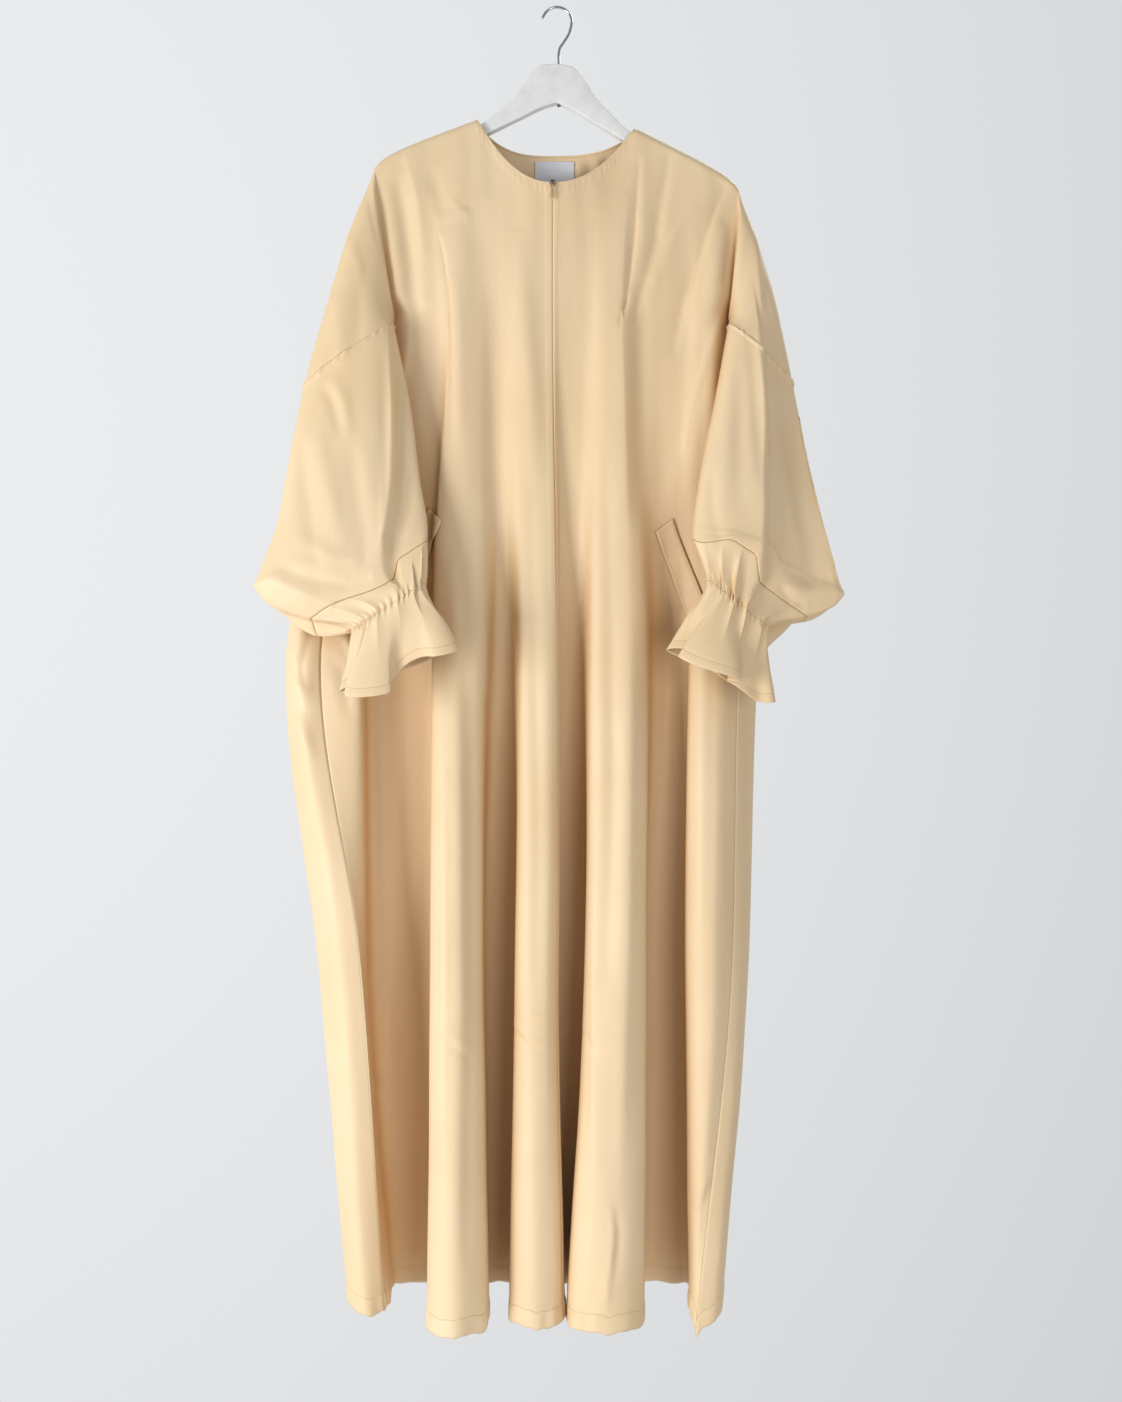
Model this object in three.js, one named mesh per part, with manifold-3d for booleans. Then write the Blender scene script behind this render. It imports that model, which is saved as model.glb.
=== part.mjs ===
// A loose satin abaya on a wooden hanger: two fronts with a concealed zip, a back, dropped shoulders,
// full sleeves gathered on elastic cuffs with frills, welt pockets and a bound neck.
// Millimetres. +X is to the right of someone facing the front, the front faces -Y, +Z is up.
// The origin is the inside top of the wire hook, where it sits on a rail.
import * as THREE from "three";
import { mergeVertices } from "three/addons/utils/BufferGeometryUtils.js";
import Module from "manifold-3d";

const wasm = await Module();
wasm.setup();

// ---- Driving sizes ----
const WALL = 1.4; // cloth wall, its seam allowances and facings included
const SEAM = 0.6; // gap between two pieces at a seam
const TILT = THREE.MathUtils.degToRad(3.4); // the hanger hangs lower on its right
const NECK = { left: -98, right: 95, low: -5, front: -217.5, back: -174, frontDepth: -22, backDepth: 16 };
// Shoulder ridge before the tilt: half widths, negated, and heights.
const RIDGE = {
  out: [-97, -180, -199, -211, -218],
  z: [-140.5, -177.7, -187.9, -196.8, -204.6],
  y: 11,
  round: 10,
};
const LEVEL = { bust: -343, armpit: -370, waist: -600, flare: -725, hip: -785, knee: -1130, hem: -1550 };
const FOLD_LEVELS = [LEVEL.bust, LEVEL.waist, LEVEL.hip, LEVEL.knee, LEVEL.hem];
const SIDE_LEVELS = [LEVEL.bust, LEVEL.armpit, LEVEL.waist, LEVEL.flare, LEVEL.hip, LEVEL.knee, LEVEL.hem];

const mix = THREE.MathUtils.lerp;
const clamp = THREE.MathUtils.clamp;
const smooth = (t) => THREE.MathUtils.smoothstep(t, 0, 1);

// Value at z of a curve through values given at falling levels, with no overshoot between them.
function down(z, levels, values) {
  const last = levels.length - 1;
  if (z >= levels[0]) return values[0];
  if (z <= levels[last]) return values[last];
  const k = levels.findIndex((level, i) => i < last && z > levels[i + 1]);
  const rise = (i) => (values[i + 1] - values[i]) / (levels[i + 1] - levels[i]);
  const slope = (i) => {
    if (i === 0) return rise(0);
    if (i === last) return rise(last - 1);
    const [a, b] = [rise(i - 1), rise(i)];
    return a * b <= 0 ? 0 : (2 * a * b) / (a + b);
  };
  const h = levels[k + 1] - levels[k];
  const t = (z - levels[k]) / h;
  return (
    (1 + 2 * t) * (1 - t) ** 2 * values[k] +
    t * (1 - t) ** 2 * h * slope(k) +
    t * t * (3 - 2 * t) * values[k + 1] +
    t * t * (t - 1) * h * slope(k + 1)
  );
}

// ---- Hanging folds ----
// Front folds, left to right: the x of each crest's two edges and its depth, at bust, waist, hip, knee and
// hem, and which of its two sides turn back sharply.
const FRONT_FOLDS = [
  {
    left: [-127, -141, -145, -146, -148],
    right: [-91, -90, -89, -87, -81],
    crest: [-24, -38, -60, -88, -110],
    sharp: [true, false],
  },
  {
    left: [-44, -43, -42, -46, -54],
    right: [-5, -2, 1, 1, 7],
    crest: [-23, -36, -52, -78, -88],
    sharp: [false, true],
  },
  {
    left: [50, 46, 41, 36, 13],
    right: [78, 94, 104, 102, 99],
    crest: [-25, -39, -55, -82, -100],
    sharp: [false, false],
  },
];
const FLOOR = [-17, -14, -8, 0, 10]; // depth of the front between its folds
// How far a fold narrows behind its crest, where its side is sharp and where it is soft.
const UNDERCUT = { sharp: [-10, -7, 1, 7, 9], soft: [-18, -19, -13, -4, 2] };
// Depth of the back at the side levels, and how far its lines lie forward of that in uneven hollows.
const BACK = { y: [17, 19, 33, 42, 46, 57, 66], hollow: [1, 1, 5, 7, 9, 14, 20] };
const HOLLOWS = [0.75, 0.25, 0, 0.35, 1, 0.7, 0.1, 0, 0.2, 0.85, 0.45, 0, 0.55, 0.95];

// Lines down each side, from the front round to the back, at the side levels.
const SIDE_LINES = {
  left: {
    strip: { x: [-188, -178, -222, -234, -232, -224, -196], y: [-15, -13, -15, -30, -40, -42, -25] },
    foot: { x: [-172, -166, -204, -218, -222, -219, -192], y: [-17, -15, -13, -11, -9, 0, 10] },
    seam: { x: [-200, -193, -255, -274, -278, -228, -200], y: [-8, 2, -8, -26, -36, -60, -52] },
    ridge: { x: [-196, -190, -268, -300, -302, -255, -222], y: [13, 12, -5, -28, -40, -58, -62] },
    edge: { x: [-188, -184, -280, -318, -324, -285, -246], y: [16, 18, 10, -4, -12, -20, -32] },
    corner: { x: [-176, -170, -262, -302, -312, -276, -240], y: [17, 19, 31, 34, 34, 38, 42] },
  },
  right: {
    foot: { x: [156, 154, 142, 146, 153, 153, 155], y: [-17, -16, -15, -12, -8, 0, 10] },
    strip: { x: [170, 168, 168, 168, 158, 152, 155], y: [-20, -20, -23, -27, -38, -50, -48] },
    crest: { x: [191, 188, 190, 190, 186, 180, 157], y: [-20, -18, -28, -37, -48, -66, -60] },
    seam: { x: [210, 204, 226, 222, 214, 205, 161], y: [-8, 2, 0, -18, -35, -52, -67] },
    ridge: { x: [204, 199, 250, 260, 230, 221, 185], y: [13, 13, 4, -8, -20, -40, -62] },
    edge: { x: [194, 192, 268, 288, 242, 230, 194], y: [16, 18, 16, 10, 2, -8, -35] },
    corner: { x: [180, 178, 252, 270, 234, 222, 188], y: [17, 19, 31, 36, 38, 42, 44] },
  },
};

// Where the lines of both sheets start on the shoulder and neck edges, left to right.
const TOP_X = [
  -218, -207, -190, -162, -137, -116, -98, -80, -62, -43, -24, -5, 14, 33, 52, 68, 82, 95, 140, 168, 196, 217,
];
const STATIONS = TOP_X.length - 1;
const NECK_LEFT = 6; // line that starts at the left end of the neck
const NECK_RIGHT = 17;
const CENTRE = 11; // line of the centre-front seam

const tilted = (x, z) => z - x * Math.sin(TILT);

// Height of the shoulder ridge over x.
const ridge = (x) => tilted(x, down(-Math.abs(x), RIDGE.out, RIDGE.z));

// Height of the top edge of a sheet over x: neck edge between the neck points, shoulder ridge beyond them.
function topEdge(x, front) {
  if (x <= NECK.left || x >= NECK.right) return ridge(x);
  const end = x < NECK.low ? NECK.left : NECK.right;
  const t = (x - NECK.low) / (end - NECK.low);
  const low = front ? NECK.front : NECK.back;
  return mix(low, ridge(end), t ** (front ? 2.1 : 3.2));
}

// One line of a sheet, as its x and depth at each level below the top edge.
const line = (x, y, levels) => ({ x, y, levels });
const overFolds = (make) => FOLD_LEVELS.map((_, i) => make(i));

function frontLines() {
  const side = (rows, key) => line(rows[key].x, rows[key].y, SIDE_LEVELS);
  const foot = (edges, sign, sharp) =>
    line(overFolds((i) => edges[i] + sign * UNDERCUT[sharp ? "sharp" : "soft"][i]), FLOOR, FOLD_LEVELS);
  const edgeDepth = (fold) => overFolds((i) => mix(fold.crest[i], FLOOR[i], 0.2));
  const ofFold = (fold) => [
    foot(fold.left, 1, fold.sharp[0]),
    line(fold.left, edgeDepth(fold), FOLD_LEVELS),
    line(overFolds((i) => (fold.left[i] + fold.right[i]) / 2), fold.crest, FOLD_LEVELS),
    line(fold.right, edgeDepth(fold), FOLD_LEVELS),
    foot(fold.right, -1, fold.sharp[1]),
  ];
  const { left, right } = SIDE_LINES;
  return [
    side(left, "seam"),
    side(left, "strip"),
    side(left, "foot"),
    ...FRONT_FOLDS.flatMap(ofFold),
    side(right, "foot"),
    side(right, "strip"),
    side(right, "crest"),
    side(right, "seam"),
  ];
}

function backLines() {
  const side = (rows, key) => line(rows[key].x, rows[key].y, SIDE_LEVELS);
  const { left, right } = SIDE_LINES;
  const backSeam = (rows) => line(rows.seam.x, [10, ...rows.seam.y.slice(1)], SIDE_LEVELS);
  const plane = HOLLOWS.map((share, j) => {
    const q = (j + 1) / (HOLLOWS.length + 1);
    return line(
      SIDE_LEVELS.map((_, i) => mix(left.corner.x[i], right.corner.x[i], q)),
      SIDE_LEVELS.map((_, i) => BACK.y[i] - BACK.hollow[i] * share),
      SIDE_LEVELS,
    );
  });
  return [
    backSeam(left),
    side(left, "ridge"),
    side(left, "edge"),
    side(left, "corner"),
    ...plane,
    side(right, "corner"),
    side(right, "edge"),
    side(right, "ridge"),
    backSeam(right),
  ];
}

const SHEETS = { front: frontLines(), back: backLines() };

// Depth of a sheet just below its top edge.
function yokeDepth(x, front) {
  const t = clamp(1 - Math.abs((x - NECK.low) / (NECK.right - NECK.low)), 0, 1);
  return front ? mix(-RIDGE.y, NECK.frontDepth, smooth(t)) : mix(RIDGE.y, NECK.backDepth, smooth(t));
}

// Point of line k of a sheet at height z.
function linePoint(front, k, z) {
  const { x, y, levels } = SHEETS[front ? "front" : "back"][k];
  const top = topEdge(TOP_X[k], front);
  const at = [top, ...levels];
  return [down(z, at, [TOP_X[k], ...x]), down(z, at, [yokeDepth(TOP_X[k], front), ...y])];
}

// Point between lines k and k + 1, on a centripetal Catmull-Rom curve through them and their neighbours.
function across(points, f) {
  const [a, b, c, d] = points;
  const step = (p, q) => Math.max(Math.hypot(q[0] - p[0], q[1] - p[1]) ** 0.5, 1e-3);
  const [t1, t2, t3] = [step(a, b), step(a, b) + step(b, c), step(a, b) + step(b, c) + step(c, d)];
  const t = mix(t1, t2, f);
  const blend = (p, q, t0, tEnd) => p.map((v, i) => mix(v, q[i], (t - t0) / (tEnd - t0)));
  const ab = blend(a, b, 0, t1);
  const bc = blend(b, c, t1, t2);
  const cd = blend(c, d, t2, t3);
  return blend(blend(ab, bc, 0, t2), blend(bc, cd, t1, t3), t1, t2);
}

// A sheet's point at height z and place u across it, u counting lines from the left side seam.
function sheetPoint(front, u, z) {
  const k = Math.min(Math.floor(u), STATIONS - 1);
  const reflect = (p, q) => p.map((v, i) => 2 * v - q[i]);
  const at = (j) => linePoint(front, j, z);
  const [b, c] = [at(k), at(k + 1)];
  const a = k > 0 ? at(k - 1) : reflect(b, c);
  const d = k + 2 <= STATIONS ? at(k + 2) : reflect(c, b);
  const [x, y] = across([a, b, c, d], u - k);
  const drop = clamp((ridge(x) - z) / RIDGE.round, 0, 1);
  return new THREE.Vector3(x, y * Math.sqrt(1 - (1 - drop) ** 2), z);
}

const topX = (u) => mix(TOP_X[Math.floor(u)], TOP_X[Math.min(Math.floor(u) + 1, STATIONS)], u % 1);
// Height of the hem at place u and depth y: higher at the back, and drawn down to a point at the left seam.
const HEM = { lift: 16, tip: 20, tipReach: 1.6 };
function hemHeight(u, y) {
  const tip = Math.max(1 - (STATIONS - u) / HEM.tipReach, 0);
  return LEVEL.hem + HEM.lift * smooth((y + 110) / 120) - HEM.tip * tip ** 2;
}

// Heights of a sheet's rows at place u: close together over the shoulder, then down to armpit and hem.
const SHOULDER_ROWS = [0, 2, 7];
const ARMPIT_ROW = 8;
const ROWS = 19;

function rowHeight(front, u, row) {
  const top = topEdge(topX(u), front);
  if (row < SHOULDER_ROWS.length) return top - SHOULDER_ROWS[row];
  const start = top - SHOULDER_ROWS.at(-1);
  const first = SHOULDER_ROWS.length - 1;
  if (row <= ARMPIT_ROW) return mix(start, LEVEL.armpit, (row - first) / (ARMPIT_ROW - first));
  const hem = hemHeight(u, sheetPoint(front, u, LEVEL.hem).y);
  return mix(LEVEL.armpit, hem, (row - ARMPIT_ROW) / (ROWS - ARMPIT_ROW));
}

const evenly = (from, to, count) => Array.from({ length: count + 1 }, (_, i) => mix(from, to, i / count));

// Places of each sheet's columns, and its grid of points, column by column.
const NECK_ENDS = [NECK_LEFT + 0.2, NECK_RIGHT - 0.2];
const everyHalf = [...evenly(0, STATIONS, 2 * STATIONS), ...NECK_ENDS].sort((a, b) => a - b);
const COLUMNS = {
  front: everyHalf,
  back: everyHalf.filter((u) => Number.isInteger(u) || u < NECK_LEFT + 0.4 || u > NECK_RIGHT - 0.4),
};
const gridOf = (front) =>
  COLUMNS[front ? "front" : "back"].map((u) =>
    Array.from({ length: ROWS + 1 }, (_, row) => sheetPoint(front, u, rowHeight(front, u, row))),
  );
const GRID = { front: gridOf(true), back: gridOf(false) };

// ---- Sleeves ----
// Sections from the shoulder end to the frill's hem, one row each: outer and inner ends in x and z, depth of
// the line between them, and how far the cloth stands in front of and behind that line.
const SLEEVES = {
  right: [
    { name: "root", outer: [-222, -205], inner: [-193.5, -373], y: -2, ahead: 18, behind: 14 },
    { name: "cap", outer: [-245, -264], inner: [-194, -377], y: -6, ahead: 22, behind: 17 },
    { name: "drop", outer: [-271, -350], inner: [-194, -381], y: -13, ahead: 26, behind: 20 },
    { name: "armhole", outer: [-298, -456], inner: [-193, -386], y: -21, ahead: 28, behind: 24 },
    { name: "upper", outer: [-312, -537], inner: [-172, -486], y: -38, ahead: 28, behind: 25 },
    { name: "elbow", outer: [-328, -637], inner: [-159, -574], y: -57, ahead: 29, behind: 26 },
    { name: "pouch", outer: [-350, -698], inner: [-150, -622], y: -68, ahead: 30, behind: 28 },
    { name: "turn", outer: [-326, -724], inner: [-149, -636], y: -73, ahead: 27, behind: 26 },
    { name: "cuff", outer: [-282, -738], inner: [-149, -647], y: -77, ahead: 24, behind: 23 },
    { name: "elastic", outer: [-231, -750], inner: [-152, -697], y: -93, ahead: 15, behind: 14 },
    { name: "flare", outer: [-238, -788], inner: [-134, -735], y: -97, ahead: 19, behind: 17 },
    { name: "hem", outer: [-244, -821], inner: [-123, -773], y: -100, ahead: 23, behind: 19 },
  ],
  left: [
    { name: "root", outer: [221, -231], inner: [204.5, -373], y: -2, ahead: 18, behind: 14 },
    { name: "cap", outer: [241, -288], inner: [205, -377], y: -6, ahead: 22, behind: 17 },
    { name: "drop", outer: [262, -365], inner: [205, -381], y: -13, ahead: 26, behind: 20 },
    { name: "armhole", outer: [279, -450], inner: [203, -386], y: -21, ahead: 28, behind: 24 },
    { name: "upper", outer: [292, -537], inner: [184, -484], y: -38, ahead: 28, behind: 25 },
    { name: "elbow", outer: [308, -621], inner: [166, -572], y: -57, ahead: 29, behind: 26 },
    { name: "pouch", outer: [332, -706], inner: [157, -626], y: -68, ahead: 30, behind: 28 },
    { name: "turn", outer: [316, -724], inner: [156, -637], y: -73, ahead: 27, behind: 26 },
    { name: "cuff", outer: [288, -734], inner: [156, -646], y: -77, ahead: 24, behind: 23 },
    { name: "elastic", outer: [240, -748], inner: [172, -693], y: -93, ahead: 15, behind: 14 },
    { name: "flare", outer: [239, -792], inner: [148, -732], y: -97, ahead: 19, behind: 17 },
    { name: "hem", outer: [241, -830], inner: [125, -771], y: -100, ahead: 23, behind: 19 },
  ],
};
const S = Object.fromEntries(SLEEVES.right.map((row, i) => [row.name, i]));
// The part of each sleeve's front that lies back: beyond the share e of the way to the inner end.
const SLEEVE_STEP = {
  right: { sign: 1, e: [1, 1, 1, 0.98, 0.88, 0.83, 0.78, 0.75, 0.72, 0.7, 0.7, 0.7] },
  left: { sign: -1, e: [0.3, 0.35, 0.45, 0.49, 0.45, 0.47, 0.52, 0.48, 0.42, 0.4, 0.4, 0.4] },
  depth: [0, 0, 3, 9, 14, 14, 13, 12, 10, 0, 0, 0],
};
const GATHER = { count: 16, height: 1.2, fade: 0.55 };
const FRILL = { waves: 6, height: 10 };
const WRIST_WALL = 1; // cuffs and frills have fewer layers

const indices = SLEEVES.right.map((_, i) => -i); // falling, as down() wants

// Point of a sleeve at section s and angle a (a full turn is 1, from the outer end round the front).
function sleevePoint(side, s, a) {
  const rows = SLEEVES[side];
  const at = (pick) => down(-s, indices, rows.map(pick));
  const across = Math.sin(2 * Math.PI * a);
  const front = across > 0;
  const e = 0.5 - 0.5 * Math.cos(2 * Math.PI * a);
  const x = mix(at((r) => r.outer[0]), at((r) => r.inner[0]), e);
  const z = mix(at((r) => r.outer[1]), at((r) => r.inner[1]), e);
  const reach = Math.abs(across) ** 0.75;
  let y = at((r) => r.y) + reach * (front ? -at((r) => r.ahead) : at((r) => r.behind));
  const step = SLEEVE_STEP[side];
  const past = step.sign * (e - down(-s, indices, step.e));
  if (front) y += down(-s, indices, SLEEVE_STEP.depth) * smooth(past / 0.1 + 0.5) * Math.sqrt(across);
  const point = new THREE.Vector3(x, y, z);
  const centre = new THREE.Vector3(at((r) => (r.outer[0] + r.inner[0]) / 2), at((r) => r.y), z);
  const gathered = clamp(1 - Math.abs(s - S.elastic) / GATHER.fade, 0, 1);
  const flared = smooth((s - S.elastic) / (S.hem - S.elastic));
  const puff =
    GATHER.height * gathered * Math.cos(2 * Math.PI * GATHER.count * a) +
    FRILL.height * flared * Math.cos(2 * Math.PI * FRILL.waves * a + 0.6);
  return point.add(point.clone().sub(centre).setZ(0).normalize().multiplyScalar(puff));
}

// ---- From surfaces to cloth walls ----
// A surface is a list of points and quads or triangles that refer to them. Its normals point outwards.
function normalsOf(points, faces) {
  const normals = points.map(() => new THREE.Vector3());
  for (const face of faces) {
    const [a, b, c] = face.length === 4 ? [face[0], face[1], face[2]] : face;
    const d = points[face.at(-1)];
    const n = points[c].clone().sub(points[a]);
    const m = face.length === 4 ? d.clone().sub(points[b]) : points[b].clone().sub(points[a]).negate();
    const normal = n.cross(m);
    face.forEach((i) => normals[i].add(normal));
  }
  return normals.map((n) => n.normalize());
}

// A closed wall under the given faces: the faces, the same faces moved in by the wall, and a rim between.
// Edges of the piece are pulled in by half a seam.
function wallUnder(points, faces, normals, wall = WALL) {
  const edges = new Map();
  faces.forEach((face) =>
    face.forEach((a, i) => {
      const b = face[(i + 1) % face.length];
      if (!edges.delete(`${b},${a}`)) edges.set(`${a},${b}`, [a, b]);
    }),
  );
  const pull = new Map();
  for (const [a, b] of edges.values()) {
    const along = points[b].clone().sub(points[a]).normalize();
    for (const i of [a, b]) {
      const inward = normals[i].clone().cross(along);
      pull.set(i, (pull.get(i) ?? new THREE.Vector3()).add(inward));
    }
  }
  const used = [...new Set(faces.flat())];
  const outer = new Map(used.map((i, n) => [i, n]));
  const moved = used.map((i) =>
    points[i].clone().addScaledVector(pull.has(i) ? pull.get(i).normalize() : new THREE.Vector3(), SEAM / 2),
  );
  const inner = used.map((i, n) => moved[n].clone().addScaledVector(normals[i], -wall));
  const vertices = [...moved, ...inner];
  const index = [];
  const far = used.length;
  const triangles = (face) => (face.length === 4 ? [[0, 1, 2], [0, 2, 3]] : [[0, 1, 2]]);
  for (const face of faces)
    for (const corner of triangles(face)) {
      const [a, b, c] = corner.map((i) => outer.get(face[i]));
      index.push(a, b, c, a + far, c + far, b + far);
    }
  for (const [a, b] of edges.values()) {
    const [p, q] = [outer.get(a), outer.get(b)];
    index.push(p, p + far, q + far, p, q + far, q);
  }
  return geometryOf(vertices, index);
}

function geometryOf(vertices, index) {
  const geometry = new THREE.BufferGeometry();
  const coordinates = vertices.flatMap((v) => v.toArray());
  geometry.setAttribute("position", new THREE.Float32BufferAttribute(coordinates, 3));
  geometry.setIndex(index);
  return geometry;
}

// Quads between two rows of point numbers that run the same way.
const strip = (upper, lower) =>
  upper.slice(0, -1).map((_, i) => [upper[i], lower[i], lower[i + 1], upper[i + 1]]);

// Triangles between two closed loops with different counts, both starting at the same place.
function lacing(outer, inner) {
  const faces = [];
  let [i, j] = [0, 0];
  while (i < outer.length || j < inner.length) {
    const [a, b] = [outer[i % outer.length], inner[j % inner.length]];
    const behind = (i + 1) / outer.length <= (j + 1) / inner.length;
    if (j >= inner.length || (i < outer.length && behind)) faces.push([a, b, outer[++i % outer.length]]);
    else faces.push([a, b, inner[++j % inner.length]]);
  }
  return faces;
}

// The body and the dropped shoulders are one surface, cut into pieces afterwards so that seams match.
function bodySurface(tubeColumns, capSections) {
  const points = [];
  const add = (p) => points.push(p) - 1;
  const faces = { front_right: [], front_left: [], back: [] };
  const front = GRID.front.map((column) => column.map(add));
  const back = GRID.back.map((column, c) => {
    const u = COLUMNS.back[c];
    const same = front[COLUMNS.front.indexOf(u)];
    const onRidge = u <= NECK_LEFT || u >= NECK_RIGHT;
    const onSideSeam = u === 0 || u === STATIONS;
    const shared = (row) => (row === 0 && onRidge) || (row >= ARMPIT_ROW && onSideSeam);
    return column.map((point, row) => (shared(row) ? same[row] : add(point)));
  });
  for (let c = 0; c + 1 < front.length; c++) {
    const piece = COLUMNS.front[c] < CENTRE ? faces.front_right : faces.front_left;
    piece.push(...strip(front[c + 1], front[c]));
  }
  for (let c = 0; c + 1 < back.length; c++) faces.back.push(...strip(back[c], back[c + 1]));

  for (const side of ["right", "left"]) {
    const column = side === "right" ? 0 : -1;
    const [ahead, behind] = [front.at(column), back.at(column)].map((rows) => rows.slice(0, ARMPIT_ROW + 1));
    const eye = [...ahead, ...behind.slice(1, -1).reverse()];
    const ring = (s) =>
      Array.from({ length: tubeColumns }, (_, i) => add(sleevePoint(side, s, i / tubeColumns)));
    const rings = capSections.map(ring);
    const turn = (face) => (side === "right" ? face : [...face].reverse());
    const isFront = (i) => i / tubeColumns < 0.5;
    const frontPiece = side === "right" ? faces.front_right : faces.front_left;
    for (const face of lacing(eye, rings[0])) {
      const place = face.map((p) => {
        const [e, r] = [eye.indexOf(p), rings[0].indexOf(p)];
        return e >= 0 ? e / eye.length : r / tubeColumns;
      });
      const middle = place.some((p) => p > 0.5) ? 0.75 : 0.25;
      (middle < 0.5 ? frontPiece : faces.back).push(turn(face));
    }
    for (let r = 0; r + 1 < rings.length; r++)
      for (let i = 0; i < tubeColumns; i++) {
        const j = (i + 1) % tubeColumns;
        const face = turn([rings[r][i], rings[r + 1][i], rings[r + 1][j], rings[r][j]]);
        (isFront(i) ? frontPiece : faces.back).push(face);
      }
  }
  return { points, faces };
}

// A tube of a sleeve between two of its sections.
function sleeveWall(side, sections, columns) {
  const points = [];
  const rings = sections.map((s) =>
    Array.from({ length: columns }, (_, i) => points.push(sleevePoint(side, s, i / columns)) - 1),
  );
  const faces = [];
  for (let r = 0; r + 1 < rings.length; r++)
    for (let i = 0; i < columns; i++) {
      const j = (i + 1) % columns;
      const face = [rings[r][i], rings[r + 1][i], rings[r + 1][j], rings[r][j]];
      faces.push(side === "right" ? face : face.reverse());
    }
  const step = 1e-3;
  const normals = sections.flatMap((s) =>
    Array.from({ length: columns }, (_, i) => {
      const a = i / columns;
      const along = sleevePoint(side, s + step, a).sub(sleevePoint(side, s - step, a));
      const round = sleevePoint(side, s, a + step).sub(sleevePoint(side, s, a - step));
      return along.cross(round).normalize().multiplyScalar(side === "right" ? 1 : -1);
    }),
  );
  return { points, faces, normals };
}

// ---- The garment's pieces ----
const satin = new THREE.MeshStandardMaterial({ color: 0xe9cfa4, roughness: 0.42, metalness: 0 });
const labelWeave = new THREE.MeshStandardMaterial({ color: 0xd9dadd, roughness: 0.5, metalness: 0 });
const paintedWood = new THREE.MeshStandardMaterial({ color: 0xeceeeb, roughness: 0.45, metalness: 0 });
const chrome = new THREE.MeshStandardMaterial({ color: 0xc4c6c8, roughness: 0.2, metalness: 1 });
const zipMetal = new THREE.MeshStandardMaterial({ color: 0xb59a6e, roughness: 0.3, metalness: 1 });

const abaya = new THREE.Group();

function put(name, geometry, material, parent = abaya) {
  const mesh = new THREE.Mesh(geometry, material);
  mesh.name = name;
  parent.add(mesh);
  return mesh;
}

const TUBE_COLUMNS = 28;
const CUFF_COLUMNS = 4 * GATHER.count;
const body = bodySurface(TUBE_COLUMNS, [S.root, S.cap, S.drop, S.armhole]);
const bodyNormals = normalsOf(body.points, Object.values(body.faces).flat());

for (const [name, faces] of Object.entries(body.faces))
  put(name, wallUnder(body.points, faces, bodyNormals), satin);

for (const side of ["right", "left"]) {
  const tubes = {
    sleeve: [[S.armhole, S.upper, 4.5, S.elbow, 5.6, S.pouch, S.turn, S.cuff], TUBE_COLUMNS, WALL],
    cuff: [[S.cuff, 8.5, 8.85, S.elastic], CUFF_COLUMNS, WRIST_WALL],
    frill: [[S.elastic, 9.25, S.flare, S.hem], CUFF_COLUMNS, WRIST_WALL],
  };
  for (const [name, [sections, columns, wall]] of Object.entries(tubes)) {
    const { points, faces, normals } = sleeveWall(side, sections, columns);
    put(`${name}_${side}`, wallUnder(points, faces, normals, wall), satin);
  }
}

// ---- What lies on the cloth ----
// Point of a sheet's wall, flat between its own lines and rows, at place u and a row number with fractions.
function clothPoint(front, u, row) {
  const columns = COLUMNS[front ? "front" : "back"];
  const c = Math.max(columns.findLastIndex((place) => place <= u && place < STATIONS), 0);
  const r = Math.min(Math.floor(row), ROWS - 1);
  const [f, g] = [(u - columns[c]) / (columns[c + 1] - columns[c]), row - r];
  const at = (i, j) => GRID[front ? "front" : "back"][c + i][r + j];
  const [near, far] = front ? [at(1, 0), at(0, 1)] : [at(0, 0), at(1, 1)];
  const nearSide = front ? f + g <= 1 : f >= g;
  if (front && nearSide) return blend([at(0, 0), 1 - f - g], [near, f], [far, g]);
  if (front) return blend([at(1, 1), f + g - 1], [near, 1 - g], [far, 1 - f]);
  return nearSide
    ? blend([near, 1 - f], [at(1, 0), f - g], [far, g])
    : blend([near, 1 - g], [at(0, 1), g - f], [far, f]);
}

const blend = (...parts) =>
  parts.reduce((sum, [point, share]) => sum.addScaledVector(point, share), new THREE.Vector3());

// Number rising from low to high at which value() reaches the target, where value() rises.
function solve(low, high, target, value) {
  for (let i = 0; i < 30; i++) {
    const middle = (low + high) / 2;
    if (value(middle) < target) low = middle;
    else high = middle;
  }
  return (low + high) / 2;
}

// Place and row on a sheet of the point with the given x and z, between two places.
function locate(front, x, z, from, to) {
  let u = (from + to) / 2;
  let row = 0;
  for (let i = 0; i < 6; i++) {
    row = solve(0, ROWS, -z, (r) => -clothPoint(front, u, r).z);
    u = solve(from, to, x, (v) => clothPoint(front, v, row).x);
  }
  return [u, row];
}

// A thin piece on a sheet: its grid of places follows the sheet and stands off it by lift along its normals.
function laidOn(front, grid, lift, thick) {
  const points = [];
  const normals = [];
  const rows = grid.map((places) =>
    places.map(([u, row]) => {
      const across = clothPoint(front, u + 0.05, row).sub(clothPoint(front, u - 0.05, row));
      const along = clothPoint(front, u, row + 0.05).sub(clothPoint(front, u, row - 0.05));
      const normal = along.cross(across).normalize().multiplyScalar(front ? 1 : -1);
      normals.push(normal);
      return points.push(clothPoint(front, u, row).addScaledVector(normal, lift)) - 1;
    }),
  );
  const faces = rows.slice(0, -1).flatMap((row, i) => strip(row, rows[i + 1]));
  return wallUnder(points, front ? faces : faces.map((face) => face.reverse()), normals, thick);
}

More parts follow.
